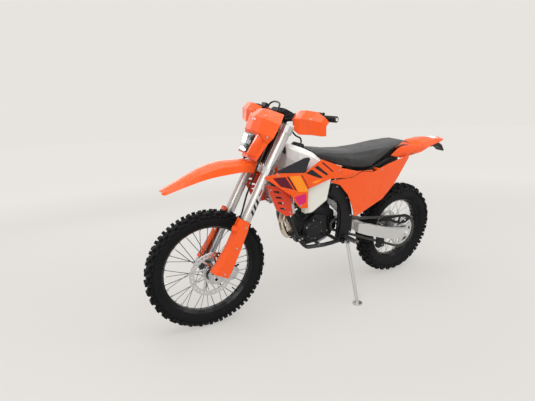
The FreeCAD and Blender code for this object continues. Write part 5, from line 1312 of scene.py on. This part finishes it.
def hose(name, points, radius, body="frame", material=hose_rubber, sides=3):
    """A round tube through rows of (matrix, points in millimetres)."""
    line = [place(matrix, *point) for matrix, row in points for point in row]
    return tube_piece(name, line, radius, material, body, resolution=HOSE_STEPS, sides=sides)


hoses = [
    hose("coolant_hose", [(CHASSIS, ((866, 40, 736), (880, 62, 738), (905, 80, 744), (950, 88, 752),
                                     (985, 94, 758), (1020, 100, 762)))], 0.009, sides=4),
    hose("throttle_body", [(CHASSIS, ((778, 0, 716), (750, 0, 722), (700, 0, 736), (650, 0, 752)))], 0.024,
         material=dark_steel, sides=5),
    hose("vent_hose", [(CHASSIS, ((893, 0, 1030), (892, 0, 1048), (905, 2, 1064), (940, 4, 1075))),
                       (FORK, ((-46, 0, 924), (-14, 0, 926), (0, 0, 918), (0, 0, 904)))], 0.0048),
    hose("brake_line", [(BAR, ((2, -232, 62), (2, -226, 78), (4, -196, 94), (20, -120, 92), (44, -30, 74),
                               (72, 26, 44), (88, 50, 0), (92, 60, -40), (88, 66, -70)))],
         0.0052, "steering"),
    hose("clutch_line", [(BAR, ((14, 250, 46), (20, 226, 50), (30, 180, 40), (52, 110, 14), (70, 60, -30),
                                (76, 34, -80), (72, 20, -120)))], 0.0046, "steering"),
]
print("hoses", [piece.name for piece in hoses])

# %% [markdown]
# Three thin covers close the sides of such a bike. One wing carries the shroud's orange back under
# the seat's edge to the side panel, another fills the step between the seat's end and the rear
# fender, and a black plate with openings guards the chain beside the sprocket. Each starts as a
# filled outline, whose corners are set where the drawing has them, and gets its wall from Solidify
# and its soft rim from Bevel.

# %% Side wings and chain guard


def flat_outline(name, corners, across):
    """A filled outline in the chassis' side view; across gives y for each x. Millimetres."""
    bpy.ops.mesh.primitive_circle_add(vertices=len(corners), radius=1, fill_type="NGON")
    piece = bpy.context.object
    piece.name = name
    for vertex, (x, z) in zip(piece.data.vertices, corners):
        vertex.co = (x * MM, across(x) * MM, z * MM)
    return piece


def walled(piece, wall, rim):
    """Gives a flat piece its wall and rounds its rim."""
    select_only(piece)
    solid = piece.modifiers.new("wall", "SOLIDIFY")
    solid.thickness = wall * MM
    solid.offset = 0
    round_rim = piece.modifiers.new("rim", "BEVEL")
    round_rim.width = rim * MM
    round_rim.segments = 2
    apply_all(piece)
    normals_out()
    return piece


WING = ((716, 899), (640, 881), (560, 861), (430, 855), (416, 846), (518, 858), (588, 828), (640, 826),
        (716, 834))
FENDER_WING = ((-118, 948), (-60, 968), (60, 982), (150, 982), (205, 958), (250, 928), (150, 903), (60, 908),
               (-60, 926))


def wing_pair(name, corners, across):
    """The same thin wing on the left and the right; across gives its distance from the middle."""
    wings = []
    for side in (1, -1):
        wing = flat_outline(name, corners, lambda x: side * across(x))
        wings.append(set_in(walled(wing, 2.6, 0.8), CHASSIS, orange, "frame", smooth=35))
    return join(name, wings)


seat_wings = wing_pair("seat_wings", WING, lambda x: 138.5 + (x - 416) * 0.024)
fender_wings = wing_pair("fender_wings", FENDER_WING, lambda x: 101 + max(0, x - 60) * 0.06)

GUARD_ACROSS = 95.6
CHAIN_GUARD = ((-70, 436), (-40, 462), (10, 478), (120, 482), (262, 480), (270, 462), (150, 446), (92, 420),
               (40, 404), (-20, 404))
guard = flat_outline("chain_guard", CHAIN_GUARD, lambda x: GUARD_ACROSS)
edit_all()
bpy.ops.mesh.inset(thickness=0.011)
bpy.ops.mesh.inset(thickness=0.008)
bpy.ops.mesh.delete(type="ONLY_FACE")
leave_edit()
chain_guard = set_in(walled(guard, 2.4, 0.6), CHASSIS, black, "frame", smooth=35)
web = flat_outline("chain_guard_web", ((36, 474), (58, 476), (74, 424), (52, 416)), lambda x: GUARD_ACROSS)
chain_guard = join("chain_guard", [chain_guard, set_in(walled(web, 2.2, 0.5), CHASSIS, black, "frame")])
print("covers", [len(piece.data.polygons) for piece in (fender_wings, seat_wings, chain_guard)])

# %% [markdown]
# Between the barrel and the frame guard sit the parts that move fuel and air. A worm clamp holds
# each end of the coolant hose and the throttle body, a thin band with a small screw housing.

# %% Hose clamps


BAND_WALL, HOUSING_OUT = 0.9, 3


def clamp_band(centre, along, radius):
    """A thin band round a hose, with its screw housing, in millimetres."""
    band = cylinder(24, (radius + BAND_WALL) * MM, 0.007, end_fill_type="NOTHING")
    wall = band.modifiers.new("wall", "SOLIDIFY")
    wall.thickness = BAND_WALL * MM
    apply_all(band)
    housing = cube(((radius + HOUSING_OUT) * MM, 0, 0))
    bpy.ops.transform.resize(value=(0.005, 0.012, 0.006), center_override=((radius + HOUSING_OUT) * MM, 0, 0))
    bpy.ops.object.transform_apply()
    edit_all()
    bpy.ops.mesh.bevel(offset=0.0008, segments=1)
    leave_edit()
    both_parts = join("hose_clamp", [band, housing])
    set_at = CHASSIS @ Matrix.Translation(Vector(centre) * MM) @ pointing(Vector(along).normalized())
    return set_in(both_parts, set_at, bright_steel, "frame", smooth=35)


hose_clamps = join("hose_clamps", [
    clamp_band((912, 82, 745), (1, 0.1, 0.14), 9),
    clamp_band((990, 95, 758), (1, 0.15, 0.12), 9),
    clamp_band((762, 0, 719), (-1, 0, 0.24), 24),
    clamp_band((700, 0, 736), (-1, 0, 0.3), 24),
])
print("clamps", len(hose_clamps.data.polygons))

# %% [markdown]
# The bar's ends are open tubes in the grips. A short bright ring in each grip's end shows the
# metal of the bar round the hole.

# %% Bar ends


def bar_end(side):
    """A flat ring that stands in the end of a grip."""
    tip = Vector((-35, 398 * side, 60))
    out = (tip - Vector((3, 180 * side, 34))).normalized()
    piece = cylinder(24, 0.0085, 0.004)
    edit_faces(piece, facing(2))
    bpy.ops.mesh.inset(thickness=0.003)
    extrude(0, 0, -0.003)
    leave_edit()
    set_at = BAR @ Matrix.Translation((tip + out * 0.6) * MM) @ pointing(out)
    return set_in(piece, set_at, bright_steel, "steering", smooth=35)


bar_ends = join("bar_ends", [bar_end(1), bar_end(-1)])
print("bar ends", len(bar_ends.data.polygons))
